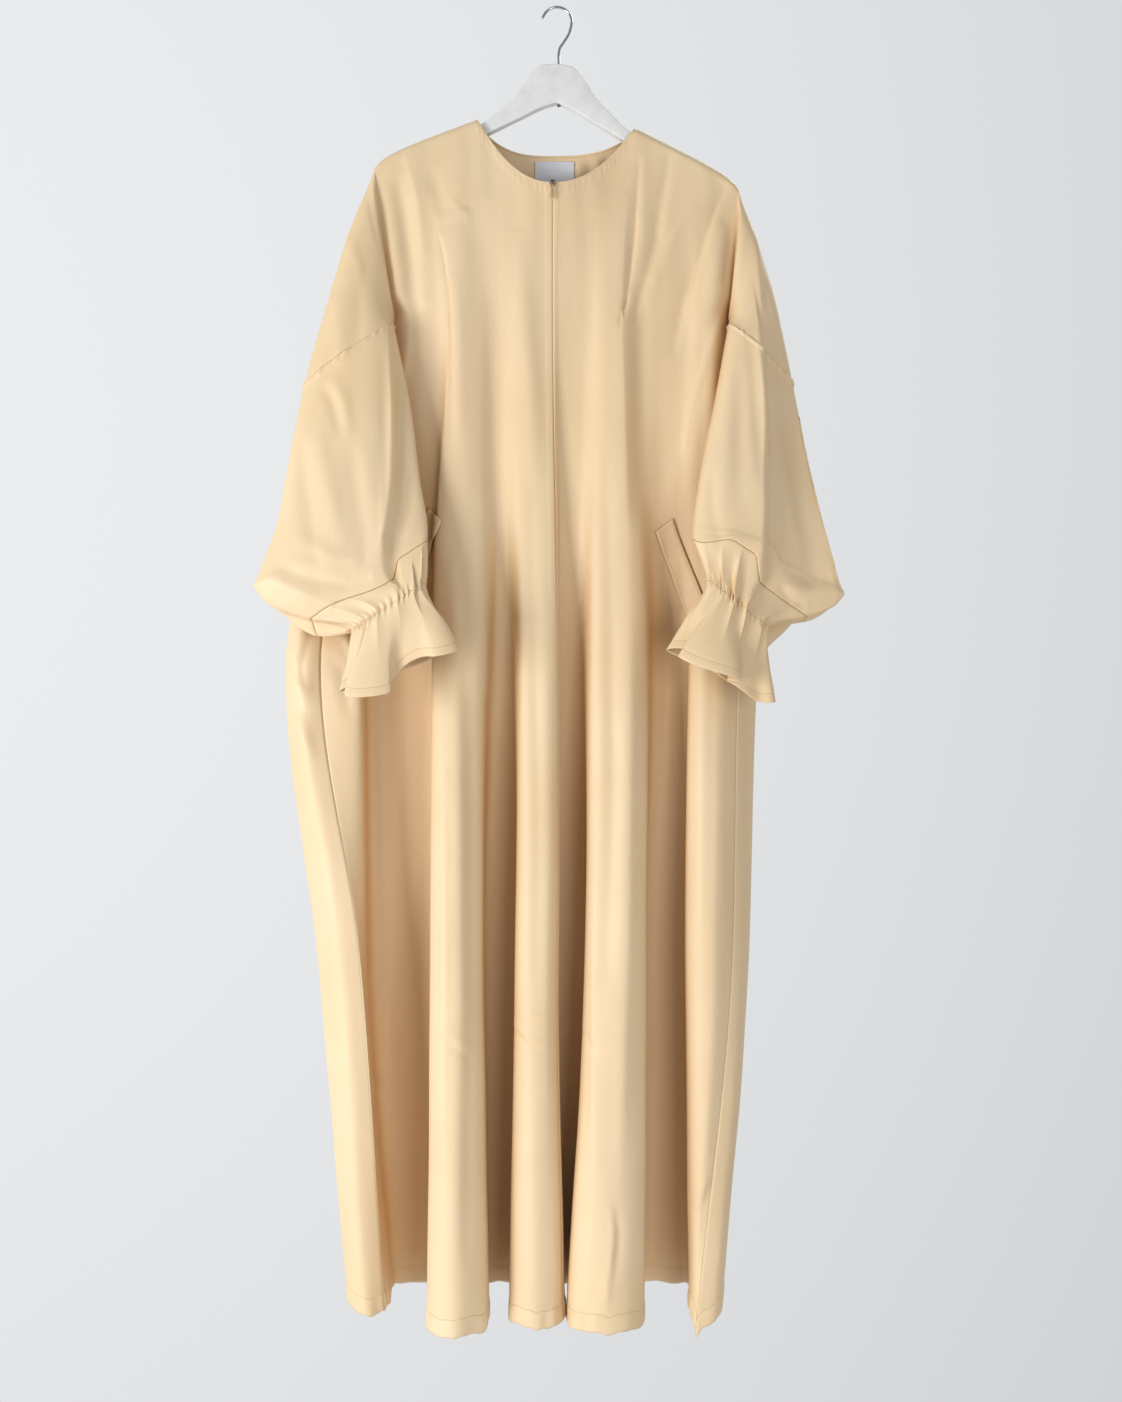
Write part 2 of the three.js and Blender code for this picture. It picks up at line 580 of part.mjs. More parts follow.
// A stiffer strip on the front: cloth points in a few rows, moved forward until it clears the cloth.
function strapOn(patch, rows, columns, clear, thick) {
  const fine = 6;
  const under = patchGrid(true, patch, [rows * fine, columns * fine]).map((places) =>
    places.map(([u, row]) => clothPoint(true, u, row)),
  );
  const coarse = evenly(0, rows, rows).map((i) =>
    evenly(0, columns, columns).map((j) => under[i * fine][j * fine]),
  );
  const lifts = coarse.map(() => clear + thick);
  under.forEach((places, m) =>
    places.forEach((cloth, n) => {
      const [i, j] = [Math.min(Math.floor(m / fine), rows - 1), Math.min(Math.floor(n / fine), columns - 1)];
      const [a, b] = [m / fine - i, n / fine - j];
      const depth = (r, c) => coarse[i + r][j + c].y - lifts[i + r];
      const turn = a >= b ? depth(1, 0) : depth(0, 1);
      const ends = depth(0, 0) * (1 - Math.max(a, b)) + depth(1, 1) * Math.min(a, b);
      const patchDepth = ends + turn * Math.abs(a - b);
      const short = patchDepth - (cloth.y - clear - thick);
      if (short <= 0) return;
      lifts[i] += short;
      lifts[i + 1] += short;
    }),
  );
  const points = coarse.flatMap((places, i) => places.map((p) => p.clone().setY(p.y - lifts[i])));
  const at = (i, j) => i * (columns + 1) + j;
  const faces = coarse.slice(1).flatMap((_, i) =>
    strip(
      evenly(0, columns, columns).map((j) => at(i, j)),
      evenly(0, columns, columns).map((j) => at(i + 1, j)),
    ),
  );
  const out = points.map(() => new THREE.Vector3(0, -1, 0));
  return wallUnder(points, faces, out, thick);
}

// Places on a sheet for a slanted patch with one corner, its long edge and its short edge, in x and z.
function patchGrid(front, { corner, long, short, from, to }, counts) {
  return evenly(0, 1, counts[0]).map((p) =>
    evenly(0, 1, counts[1]).map((q) => {
      const [x, z] = corner.map((v, i) => v + p * long[i] + q * short[i]);
      return locate(front, x, z, from, to);
    }),
  );
}

const WELTS = {
  pocket_welt_left: { corner: [116, -630], long: [47, -124], short: [22, 16], from: 16, to: 20.8 },
  pocket_welt_right: { corner: [-152, -601], long: [-50, -124], short: [16, -19], from: 0.3, to: 5 },
};
const WELT = { rows: 8, columns: 3, clear: 0.6, thick: 1.4 };
for (const [name, welt] of Object.entries(WELTS))
  put(name, strapOn(welt, WELT.rows, WELT.columns, WELT.clear, WELT.thick), satin);

const LABEL = { corner: [-27, -179], long: [0, -42], short: [48, 0], from: 7, to: 15 };
put("neck_label", laidOn(false, patchGrid(false, LABEL, [4, 4]), -WALL - 0.7, 0.8), labelWeave);

const TAPE = { lastRow: 11, lift: -WALL - 0.6, thick: 0.8 };
const tapeGrid = [0.4, 1, 2, ...evenly(3, TAPE.lastRow, TAPE.lastRow - 3)].map((row) =>
  [-0.45, -0.26, -0.07].map((side) => [CENTRE + side, row]),
);
put("zip_tape", laidOn(true, tapeGrid, TAPE.lift, TAPE.thick), satin);

// ---- Neck binding ----
const BINDING = { radius: 1.2, gap: 0.5, zipGap: 3.4, centre: new THREE.Vector3(-2, 0, -118) };

// Neck edge as a path from the zip round the wearer's right, the back and the left, back to the zip.
function neckEdge() {
  const at = (front, x) => {
    const z = topEdge(x, front);
    const drop = clamp((ridge(x) - z) / RIDGE.round, 0, 1);
    return new THREE.Vector3(x, yokeDepth(x, front) * Math.sqrt(1 - (1 - drop) ** 2), z);
  };
  const near = (end) => mix(NECK.low, end, 0.975);
  const between = (places, from, to) => places.filter((u) => u > from && u < to).map(topX);
  const rightHalf = between(COLUMNS.front, NECK_LEFT, CENTRE).reverse();
  const leftHalf = between(COLUMNS.front, CENTRE, NECK_RIGHT).reverse();
  const acrossBack = between(COLUMNS.back, NECK_LEFT, NECK_RIGHT);
  return [
    ...[NECK.low - BINDING.zipGap, ...rightHalf, near(NECK.left)].map((x) => at(true, x)),
    at(true, NECK.left),
    ...[near(NECK.left), ...acrossBack, near(NECK.right)].map((x) => at(false, x)),
    at(true, NECK.right),
    ...[near(NECK.right), ...leftHalf, NECK.low + BINDING.zipGap].map((x) => at(true, x)),
  ];
}

function bindingPath() {
  const edge = neckEdge();
  const points = edge.map((point, i) => {
    const along = edge[Math.min(i + 1, edge.length - 1)].clone().sub(edge[Math.max(i - 1, 0)]).normalize();
    const away = BINDING.centre.clone().sub(point);
    away.addScaledVector(along, -away.dot(along)).normalize();
    const normal = away.clone().cross(along);
    return point
      .clone()
      .addScaledVector(away, BINDING.radius + BINDING.gap)
      .addScaledVector(normal, -WALL / 2);
  });
  return new THREE.CatmullRomCurve3(points, false, "centripetal");
}

// A round bar along a curve.
function bar(curve, radius, steps, sides) {
  const section = new THREE.Shape(
    Array.from({ length: sides }, (_, i) => {
      const a = (2 * Math.PI * i) / sides;
      return new THREE.Vector2(radius * Math.cos(a), radius * Math.sin(a));
    }),
  );
  return new THREE.ExtrudeGeometry(section, { steps, extrudePath: curve, curveSegments: 1 });
}

put("neck_binding", bar(bindingPath(), BINDING.radius, 72, 6), satin);

// ---- Zip slider and pull ----
const solidOf = (geometry) => {
  const merged = mergeVertices(geometry.deleteAttribute("uv").deleteAttribute("normal"), 1e-4);
  return new wasm.Manifold(
    new wasm.Mesh({
      numProp: 3,
      vertProperties: new Float32Array(merged.attributes.position.array),
      triVerts: new Uint32Array(merged.index.array),
    }),
  );
};

function geometryFrom(solid) {
  const mesh = solid.getMesh();
  const vertices = Array.from({ length: mesh.vertProperties.length / 3 }, (_, i) =>
    new THREE.Vector3().fromArray(mesh.vertProperties, 3 * i),
  );
  return geometryOf(vertices, [...mesh.triVerts]);
}

const box = (sizes, centre) => wasm.Manifold.cube(sizes, true).translate(centre);
// A cylinder along X.
const pin = (length, radius, centre, sides = 20) =>
  wasm.Manifold.cylinder(length, radius, radius, sides, true).rotate([0, 90, 0]).translate(centre);

const SLIDER = { x: NECK.low, pivotY: -25.7, pivotZ: -216.4, width: 4.8, plate: 1.3 };
const CROWN = { outer: 2, inner: 1.15, width: 1.4 };
const PULL = { bar: 0.6, thick: 1, length: 21.5, eyeWidth: 4.2, hole: [2.2, 2.1], tip: 3.4, waist: 2.2 };

function slider() {
  const { x, pivotY: y, pivotZ: z, width, plate } = SLIDER;
  const frontPlate = box([width, plate, 7.6], [x, y + 1.5 + plate / 2, z - 0.6]);
  const bridge = box([width - 1, 7.4, 1.8], [x, y + 1.5 + 3.7, z + 2.3]);
  const ring = pin(CROWN.width, CROWN.outer, [x, y, z]).subtract(pin(9, CROWN.inner, [x, y, z]));
  return geometryFrom(frontPlate.add(bridge).add(ring));
}

function pullTab() {
  const outline = [
    [PULL.eyeWidth / 2, PULL.bar],
    [PULL.eyeWidth / 2, -PULL.bar - PULL.hole[1] - 0.9],
    [PULL.waist / 2, -5.6],
    [PULL.waist / 2, -10.5],
    [PULL.tip / 2, -17.6],
    [PULL.tip / 2 - 0.5, -20],
    [0.7, -PULL.length],
  ];
  const toPoints = (list) => list.map(([px, pz]) => new THREE.Vector2(px, pz));
  const shape = new THREE.Shape(toPoints([...outline.map(([px, pz]) => [-px, pz]), ...outline.reverse()]));
  const [w, h] = [PULL.hole[0] / 2, PULL.hole[1]];
  shape.holes.push(
    new THREE.Path(toPoints([[-w, -PULL.bar], [w, -PULL.bar], [w, -PULL.bar - h], [-w, -PULL.bar - h]])),
  );
  return new THREE.ExtrudeGeometry(shape, { depth: PULL.thick, bevelEnabled: false, steps: 1 })
    .translate(0, 0, -PULL.thick / 2)
    .rotateX(Math.PI / 2)
    .translate(SLIDER.x, SLIDER.pivotY, SLIDER.pivotZ);
}

put("zip_slider", slider(), zipMetal);
put("zip_pull", pullTab(), zipMetal);

// ---- Hanger ----
const BOARD = { thick: 12.5, edge: 2, end: 209 };
// Top and bottom edges of the board before the tilt: half widths and heights.
const TOP_CROWN = [[0, -67.8], [16.8, -70.2], [28.8, -79.2], [38.4, -93], [49.2, -108.6], [62.4, -121.5]];
const TOP_ARM = [[84, -141.5], [97, -148.5], [120, -156.5], [140, -162.9], [180, -181]];
const TIP = [[198, -191], [205, -197], [BOARD.end, -204], [207, -213], [200, -216]];
const BOTTOM_EDGE = [[160, -195.5], [100, -166], [40, -133.5], [18, -121.5], [0, -114.6]];

function board() {
  const half = [...TOP_CROWN, ...TOP_ARM, ...TIP, ...BOTTOM_EDGE];
  const outline = [...half, ...half.slice(1, -1).reverse().map(([x, z]) => [-x, z])];
  const shape = new THREE.Shape(outline.map(([x, z]) => new THREE.Vector2(x, z)));
  const geometry = new THREE.ExtrudeGeometry(shape, {
    depth: BOARD.thick - 2 * BOARD.edge,
    bevelEnabled: true,
    bevelThickness: BOARD.edge,
    bevelSize: BOARD.edge,
    bevelOffset: -BOARD.edge,
    bevelSegments: 2,
  })
    .translate(0, 0, BOARD.edge - BOARD.thick / 2)
    .rotateX(Math.PI / 2)
    .applyMatrix4(new THREE.Matrix4().makeShear(0, -Math.sin(TILT), 0, 0, 0, 0));
  const bore = wasm.Manifold.cylinder(30, HOOK.wire / 2 + 0.3, HOOK.wire / 2 + 0.3, 20, true).translate([
    HOOK.stem,
    0,
    HOOK.end + 14,
  ]);
  return geometryFrom(solidOf(geometry).subtract(bore));
}

const HOOK = { wire: 3.2, radius: 17.5, stem: 2, end: -86 };

function hookPath() {
  const centre = -(HOOK.radius - HOOK.wire / 2);
  const arc = evenly(155, -5, 12).map((degrees) => {
    const a = THREE.MathUtils.degToRad(degrees);
    return [HOOK.radius * Math.cos(a), centre + HOOK.radius * Math.sin(a)];
  });
  const bend = [[14.3, -30], [8, -40.5], [3.4, -47.6]];
  const stem = [[HOOK.stem, -54], [HOOK.stem, -64], [HOOK.stem, HOOK.end]];
  const points = [[-18.6, -12.4], ...arc, ...bend, ...stem].map(([x, z]) => new THREE.Vector3(x, 0, z));
  return new THREE.CatmullRomCurve3(points, false, "centripetal");
}

put("hanger_body", board(), paintedWood);
put("hanger_hook", bar(hookPath(), HOOK.wire / 2, 44, 10), chrome);

export default abaya;
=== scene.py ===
"""A satin abaya on a painted wooden hanger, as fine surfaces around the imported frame.

Every form is worked out in millimetres in the frame's axes: +X to the right of someone facing the front,
the front towards -Y, +Z up, the origin inside the top of the hook. Cloth is a grid of points on its cut
piece's surface, moved along the normal by creases, seams and gathers, and then given a thin wall.
"""

import math
from collections import namedtuple

import bpy
import numpy as np
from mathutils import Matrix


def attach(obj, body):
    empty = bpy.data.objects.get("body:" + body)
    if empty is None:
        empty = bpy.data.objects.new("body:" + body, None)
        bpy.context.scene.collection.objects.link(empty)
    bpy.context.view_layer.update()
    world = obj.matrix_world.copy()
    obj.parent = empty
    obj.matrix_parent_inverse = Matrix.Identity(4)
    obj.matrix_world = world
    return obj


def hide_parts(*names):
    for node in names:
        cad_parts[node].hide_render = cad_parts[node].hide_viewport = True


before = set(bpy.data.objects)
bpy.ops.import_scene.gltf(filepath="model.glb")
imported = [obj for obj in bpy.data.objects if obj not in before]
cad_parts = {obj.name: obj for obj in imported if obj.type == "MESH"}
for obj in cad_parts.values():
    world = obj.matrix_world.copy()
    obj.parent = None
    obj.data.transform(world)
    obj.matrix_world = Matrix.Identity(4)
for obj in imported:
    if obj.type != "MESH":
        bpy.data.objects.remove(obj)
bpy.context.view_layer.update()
MM = 0.001

# ---- Driving sizes, the same as the solids' ----
TILT = math.radians(3.4)  # the hanger hangs lower on its right
NECK = dict(left=-98, right=95, low=-5, front=-217.5, back=-174, front_depth=-22, back_depth=16)
RIDGE = dict(out=[-97, -180, -199, -211, -218], z=[-140.5, -177.7, -187.9, -196.8, -204.6], y=11, round=10)
BUST, ARMPIT, WAIST, FLARE, HIP, KNEE, HEM = -343, -370, -600, -725, -785, -1130, -1550
FOLD_LEVELS = [BUST, WAIST, HIP, KNEE, HEM]
SIDE_LEVELS = [BUST, ARMPIT, WAIST, FLARE, HIP, KNEE, HEM]

# Front folds, left to right: x of the crest's two edges and its depth at the fold levels, and which sides
# turn back sharply.
Fold = namedtuple("Fold", "left right crest sharp")
FRONT_FOLDS = [
    Fold([-127, -141, -145, -146, -148], [-91, -90, -89, -87, -81], [-24, -38, -60, -88, -110],
        (True, False)),
    Fold([-44, -43, -42, -46, -54], [-5, -2, 1, 1, 7], [-23, -36, -52, -78, -88], (False, True)),
    Fold([50, 46, 41, 36, 13], [78, 94, 104, 102, 99], [-25, -39, -55, -82, -100], (False, False)),
]
FLOOR = [-21, -21, -12, 0, 10]  # depth of the front between its folds
UNDERCUT = {True: [-10, -7, 1, 7, 9], False: [-18, -19, -13, -4, 2]}  # behind a sharp side and a soft one
BACK_DEPTH = np.array([17, 19, 33, 42, 46, 57, 66])
BACK_HOLLOW = np.array([1, 1, 6, 9, 12, 18, 25])
HOLLOWS = [0.75, 0.25, 0, 0.35, 1, 0.7, 0.1, 0, 0.2, 0.85, 0.45, 0, 0.55, 0.95]

# Lines down each side, from the front round to the back: x and depth at the side levels.
LEFT_SIDE = dict(
    strip=([-188, -178, -222, -234, -232, -224, -196], [-15, -13, -15, -30, -40, -42, -25]),
    foot=([-172, -166, -204, -218, -222, -219, -192], [-17, -15, -13, -11, -9, 0, 10]),
    seam=([-200, -196, -255, -274, -278, -228, -200], [-8, 2, -8, -26, -36, -60, -52]),
    ridge=([-196, -198, -268, -300, -302, -255, -222], [13, 12, -5, -28, -40, -58, -62]),
    edge=([-188, -192, -280, -318, -324, -285, -246], [16, 18, 10, -4, -12, -20, -32]),
    corner=([-176, -170, -262, -302, -312, -276, -240], [17, 19, 31, 34, 34, 38, 42]),
)
RIGHT_SIDE = dict(
    foot=([156, 154, 142, 146, 153, 153, 155], [-17, -16, -15, -12, -8, 0, 10]),
    strip=([170, 168, 168, 168, 158, 152, 155], [-20, -20, -23, -27, -38, -50, -48]),
    crest=([191, 188, 190, 190, 186, 180, 157], [-20, -18, -28, -37, -48, -66, -60]),
    seam=([210, 208, 226, 222, 214, 205, 161], [-8, 2, 0, -18, -35, -52, -67]),
    ridge=([204, 208, 250, 260, 230, 221, 185], [13, 13, 4, -8, -20, -40, -62]),
    edge=([194, 201, 268, 288, 242, 230, 194], [16, 18, 16, 10, 2, -8, -35]),
    corner=([180, 178, 252, 270, 234, 222, 188], [17, 19, 31, 36, 38, 42, 44]),
)
TOP_X = np.array(
    [-218, -207, -190, -162, -137, -116, -98, -80, -62, -43, -24, -5, 14, 33, 52, 68, 82, 95, 140, 168, 196,
        217.0]
)
STATIONS = len(TOP_X) - 1
CENTRE = 11  # line of the centre-front seam
ARMPIT_ROW, ROWS = 8, 19
HEM_SHAPE = dict(lift=16, tip=20, tip_reach=1.6, waver=1.3)

# Sleeve sections from the shoulder end to the frill's hem: x and z of the outer and inner ends, depth of the
# line between them, and how far the cloth stands in front of it and behind it.
SLEEVE_ROWS = "root cap drop armhole upper elbow pouch turn cuff elastic flare hem".split()
ARMHOLE, TIP, CUFF, ELASTIC, FRILL_HEM = 3, 6, 8, 9, 11
DEPTHS = dict(
    y=[-2, -6, -13, -21, -38, -57, -68, -73, -77, -93, -97, -100],
    ahead=[18, 22, 26, 28, 28, 29, 30, 27, 24, 15, 19, 23],
    behind=[14, 17, 20, 24, 25, 26, 28, 26, 23, 14, 17, 19],
)
SLEEVES = dict(
    right=dict(
        outer_x=[-222, -245, -271, -298, -312, -328, -350, -326, -282, -231, -238, -244],
        outer_z=[-205, -264, -350, -456, -537, -637, -698, -724, -738, -750, -788, -821],
        inner_x=[-193.5, -194, -194, -193, -172, -159, -150, -149, -149, -152, -134, -123],
        inner_z=[-373, -377, -381, -386, -486, -574, -622, -636, -647, -697, -735, -773],
        step=[1, 1, 1, 0.98, 0.88, 0.83, 0.78, 0.75, 0.72, 0.7, 0.7, 0.7],
        step_sign=1,
    ),
    left=dict(
        outer_x=[221, 241, 262, 279, 292, 308, 332, 316, 288, 240, 239, 241],
        outer_z=[-231, -288, -365, -450, -537, -621, -706, -724, -734, -748, -792, -830],
        inner_x=[204.5, 205, 205, 203, 184, 166, 157, 156, 156, 172, 148, 125],
        inner_z=[-373, -377, -381, -386, -484, -572, -626, -637, -646, -693, -732, -771],
        step=[0.3, 0.35, 0.45, 0.49, 0.45, 0.47, 0.52, 0.48, 0.42, 0.4, 0.4, 0.4],
        step_sign=-1,
    ),
)
STEP_DEPTH = [0, 0, 3, 9, 14, 14, 13, 12, 10, 0, 0, 0]
BACK_SAG = dict(right=24, left=12)  # the back of the sleeve hangs lower than its front, over the cuff
# Each frill wave: how many go round, its height and its phase. The first one's lobes overhang, by a share of
# a turn, and it is lower behind.
FRILL_WAVES = dict(
    right=[(4, 14, 1.76), (7, 3.0, 0.6), (11, 1.2, 1.0)],
    left=[(3, 15, 0.82), (7, 3.0, 0.6), (11, 1.2, 2.2)],
)
LOBE_OVERHANG = dict(right=0.026, left=0.034)
# Where each lobe drops: its place and half width, as shares of a turn, and its drop.
LOBE_DROPS = dict(right=[(0.21, 0.07, 24), (0.07, 0.06, -12)], left=[(0.04, 0.06, 4)])
FRILL_SEAM = dict(right=0.15, left=0.8)
# The cuff seam's own rise in front: height, the shares across between which it grows, and where it ends.
CUFF_SHIFT = dict(right=(-20, 0.1, 0.7, 0.74), left=(28, 1.0, 0.62, 0.45))
FAR_SLOPE = dict(right=0, left=14)  # how much further the front recedes beyond its step
GATHERS, GATHER_HEIGHT = 38, 2.2
CUFF_FOLDS, CUFF_FOLD_HEIGHT = 14, 4.2
CLOTH_WALL = 1.2
SEAM_DIP = 0.9  # how far a seam draws the cloth in
HEM_TURN, FRILL_TURN = 20, 10  # stitch line above the edge
HEM_PUCKER = dict(front=1.5, back=0.7)  # how far the cloth puckers along the hem's stitches


# ---- Curves ----
def smooth(t):
    """Smooth step: 3 t^2 - 2 t^3 with t held between 0 and 1."""
    t = np.clip(t, 0, 1)
    return t * t * (3 - 2 * t)


def down(z, levels, values):
    """Monotone cubic through values at falling levels: Hermite pieces whose slope at an inner level is the
    harmonic mean of the two rises beside it, or 0 where those disagree in sign."""
    levels, values = np.asarray(levels, float), np.asarray(values, float)
    rise = np.diff(values) / np.diff(levels)
    slope = np.concatenate([rise[:1], np.zeros(len(values) - 2), rise[-1:]])
    product, total = rise[:-1] * rise[1:], rise[:-1] + rise[1:]
    agree = product > 0
    slope[1:-1][agree] = 2 * product[agree] / total[agree]
    z = np.clip(z, levels[-1], levels[0])
    k = np.clip(np.searchsorted(-levels, -z, side="right") - 1, 0, len(levels) - 2)
    h = levels[k + 1] - levels[k]
    t = (z - levels[k]) / h
    start = (1 + 2 * t) * (1 - t) ** 2 * values[k] + t * (1 - t) ** 2 * h * slope[k]
    return start + t * t * (3 - 2 * t) * values[k + 1] + t * t * (t - 1) * h * slope[k + 1]


def unit(v):
    """Vectors divided by their own length."""
    return v / np.maximum(np.linalg.norm(v, axis=-1, keepdims=True), 1e-9)


def catmull(points, f, power=0.5):
    """Catmull-Rom curve between the middle two of four points at share f, its knots spaced by
    distance^power."""
    a, b, c, d = points

    def step(p, q):
        return np.maximum(np.linalg.norm(q - p, axis=-1, keepdims=True) ** power, 1e-3)

    def blend(p, q, t0, t1):
        return p + (q - p) * (t - t0) / (t1 - t0)

    t1 = step(a, b)
    t2 = t1 + step(b, c)
    t3 = t2 + step(c, d)
    t = t1 + (t2 - t1) * f[..., None]
    ab, bc, cd = blend(a, b, 0, t1), blend(b, c, t1, t2), blend(c, d, t2, t3)
    return blend(blend(ab, bc, 0, t2), blend(bc, cd, t1, t3), t1, t2)


def through(points, per_span):
    """Curve through a list of points, per_span steps between each two."""
    points = np.asarray(points, float)
    padded = np.concatenate([2 * points[:1] - points[1:2], points, 2 * points[-1:] - points[-2:-1]])
    u = np.linspace(0, len(points) - 1, (len(points) - 1) * per_span + 1)
    k = np.minimum(u.astype(int), len(points) - 2)
    return catmull([padded[k + i] for i in range(4)], u - k)


# ---- The sheets ----
def ridge(x):
    """Height of the shoulder ridge over x: a curve in the distance from the middle, sheared by the tilt."""
    return down(-np.abs(x), RIDGE["out"], RIDGE["z"]) - x * math.sin(TILT)


def top_edge(x, sheet):
    """Height of a sheet's top edge: the ridge past the neck, and between the neck points a power curve."""
    x = np.asarray(x, float)
    end = np.where(x < NECK["low"], NECK["left"], NECK["right"]).astype(float)
    t = (x - NECK["low"]) / (end - NECK["low"])
    low, power = (NECK["front"], 2.1) if sheet == "front" else (NECK["back"], 3.2)
    dip = low + (ridge(end) - low) * t**power
    return np.where((x <= NECK["left"]) | (x >= NECK["right"]), ridge(x), dip)


def yoke_depth(x, sheet):
    """Depth of a sheet just below its top edge: most at the neck's middle, eased to the ridge's."""
    t = smooth(1 - np.abs((x - NECK["low"]) / (NECK["right"] - NECK["low"])))
    if sheet == "front":
        return -RIDGE["y"] + (NECK["front_depth"] + RIDGE["y"]) * t
    return RIDGE["y"] + (NECK["back_depth"] - RIDGE["y"]) * t


def front_lines():
    """Lines down the front, left to right: three at each side, five to a fold."""
    side = [(*pair, SIDE_LEVELS) for pair in (LEFT_SIDE["seam"], LEFT_SIDE["strip"], LEFT_SIDE["foot"])]
    folds = []
    for fold in FRONT_FOLDS:
        left, right, crest, floor = (np.array(v, float) for v in (fold.left, fold.right, fold.crest, FLOOR))
        edge = crest + 0.2 * (floor - crest)
        folds += [
            (left + UNDERCUT[fold.sharp[0]], floor, FOLD_LEVELS),
            (left, edge, FOLD_LEVELS),
            ((left + right) / 2, crest, FOLD_LEVELS),
            (right, edge, FOLD_LEVELS),
            (right - UNDERCUT[fold.sharp[1]], floor, FOLD_LEVELS),
        ]
    return side + folds + [(*RIGHT_SIDE[key], SIDE_LEVELS) for key in ("foot", "strip", "crest", "seam")]


def back_lines():
    """Lines across the back: the side lines, and between the corners even shares with uneven hollows."""
    left, right = ([(*side[key], SIDE_LEVELS) for key in ("ridge", "edge",
        "corner")] for side in (LEFT_SIDE, RIGHT_SIDE))
    seams = [(side["seam"][0], [10, *side["seam"][1][1:]], SIDE_LEVELS) for side in (LEFT_SIDE, RIGHT_SIDE)]
    a, b = np.array(LEFT_SIDE["corner"][0], float), np.array(RIGHT_SIDE["corner"][0], float)
    plane = [
        (a + (b - a) * (j + 1) / (len(HOLLOWS) + 1), BACK_DEPTH - BACK_HOLLOW * share, SIDE_LEVELS)
        for j, share in enumerate(HOLLOWS)
    ]
    return [seams[0], *left, *plane, *reversed(right), seams[1]]


LINES = dict(front=front_lines(), back=back_lines())


def sheet_points(sheet, u, z):
    """Points of a sheet at place u and height z: a curve across its lines at that height, and its depth eased
    to nothing over the shoulder ridge as a quarter circle."""
    lines = []
    for top_x, (x, y, levels) in zip(TOP_X, LINES[sheet]):
        at = [float(top_edge(top_x, sheet)), *levels]
        lines.append(np.stack([down(z, at, [top_x, *x]),
            down(z, at, [float(yoke_depth(top_x, sheet)), *y])], -1))
    lines = np.stack(lines)
    k = np.minimum(u.astype(int), STATIONS - 1)

    def pick(j):
        return np.take_along_axis(lines, np.clip(j, 0, STATIONS)[None, ..., None], axis=0)[0]

    b, c = pick(k), pick(k + 1)
    a = np.where((k > 0)[..., None], pick(k - 1), 2 * b - c)
    d = np.where((k + 2 <= STATIONS)[..., None], pick(k + 2), 2 * c - b)
    xy = catmull([a, b, c, d], u - k)
    drop = np.clip((ridge(xy[..., 0]) - z) / RIDGE["round"], 0, 1)
    return np.stack([xy[..., 0], xy[..., 1] * np.sqrt(1 - (1 - drop) ** 2), z], -1)


def row_height(sheet, u, v):
    """Height of row v at place u: rows 0 to 2 close under the top edge, then even to the armpit and the
    hem."""
    top = top_edge(np.interp(u, np.arange(STATIONS + 1), TOP_X), sheet)
    y = sheet_points(sheet, u[:1], np.full_like(u[:1], HEM))[..., 1]
    tip = np.maximum(1 - (STATIONS - u[:1]) / HEM_SHAPE["tip_reach"], 0) ** 2
    hem = HEM + HEM_SHAPE["lift"] * smooth((y + 110) / 120) - HEM_SHAPE["tip"] * tip
    hem = hem + HEM_SHAPE["waver"] * np.sin(5.3 * u[:1] + 1.9 * np.sin(2.1 * u[:1]))
    hem = hem + 0.5 * HEM_SHAPE["waver"] * np.sin(13.7 * u[:1] + 1.1 * np.sin(3.7 * u[:1]))
    near = top - np.interp(v, [0, 1, 2], [0, 2, 7])
    upper = near + (ARMPIT - near) * np.clip((v - 2) / (ARMPIT_ROW - 2), 0, 1)
    return np.where(v <= ARMPIT_ROW, upper, ARMPIT + (hem - ARMPIT) * (v - ARMPIT_ROW) / (ROWS - ARMPIT_ROW))


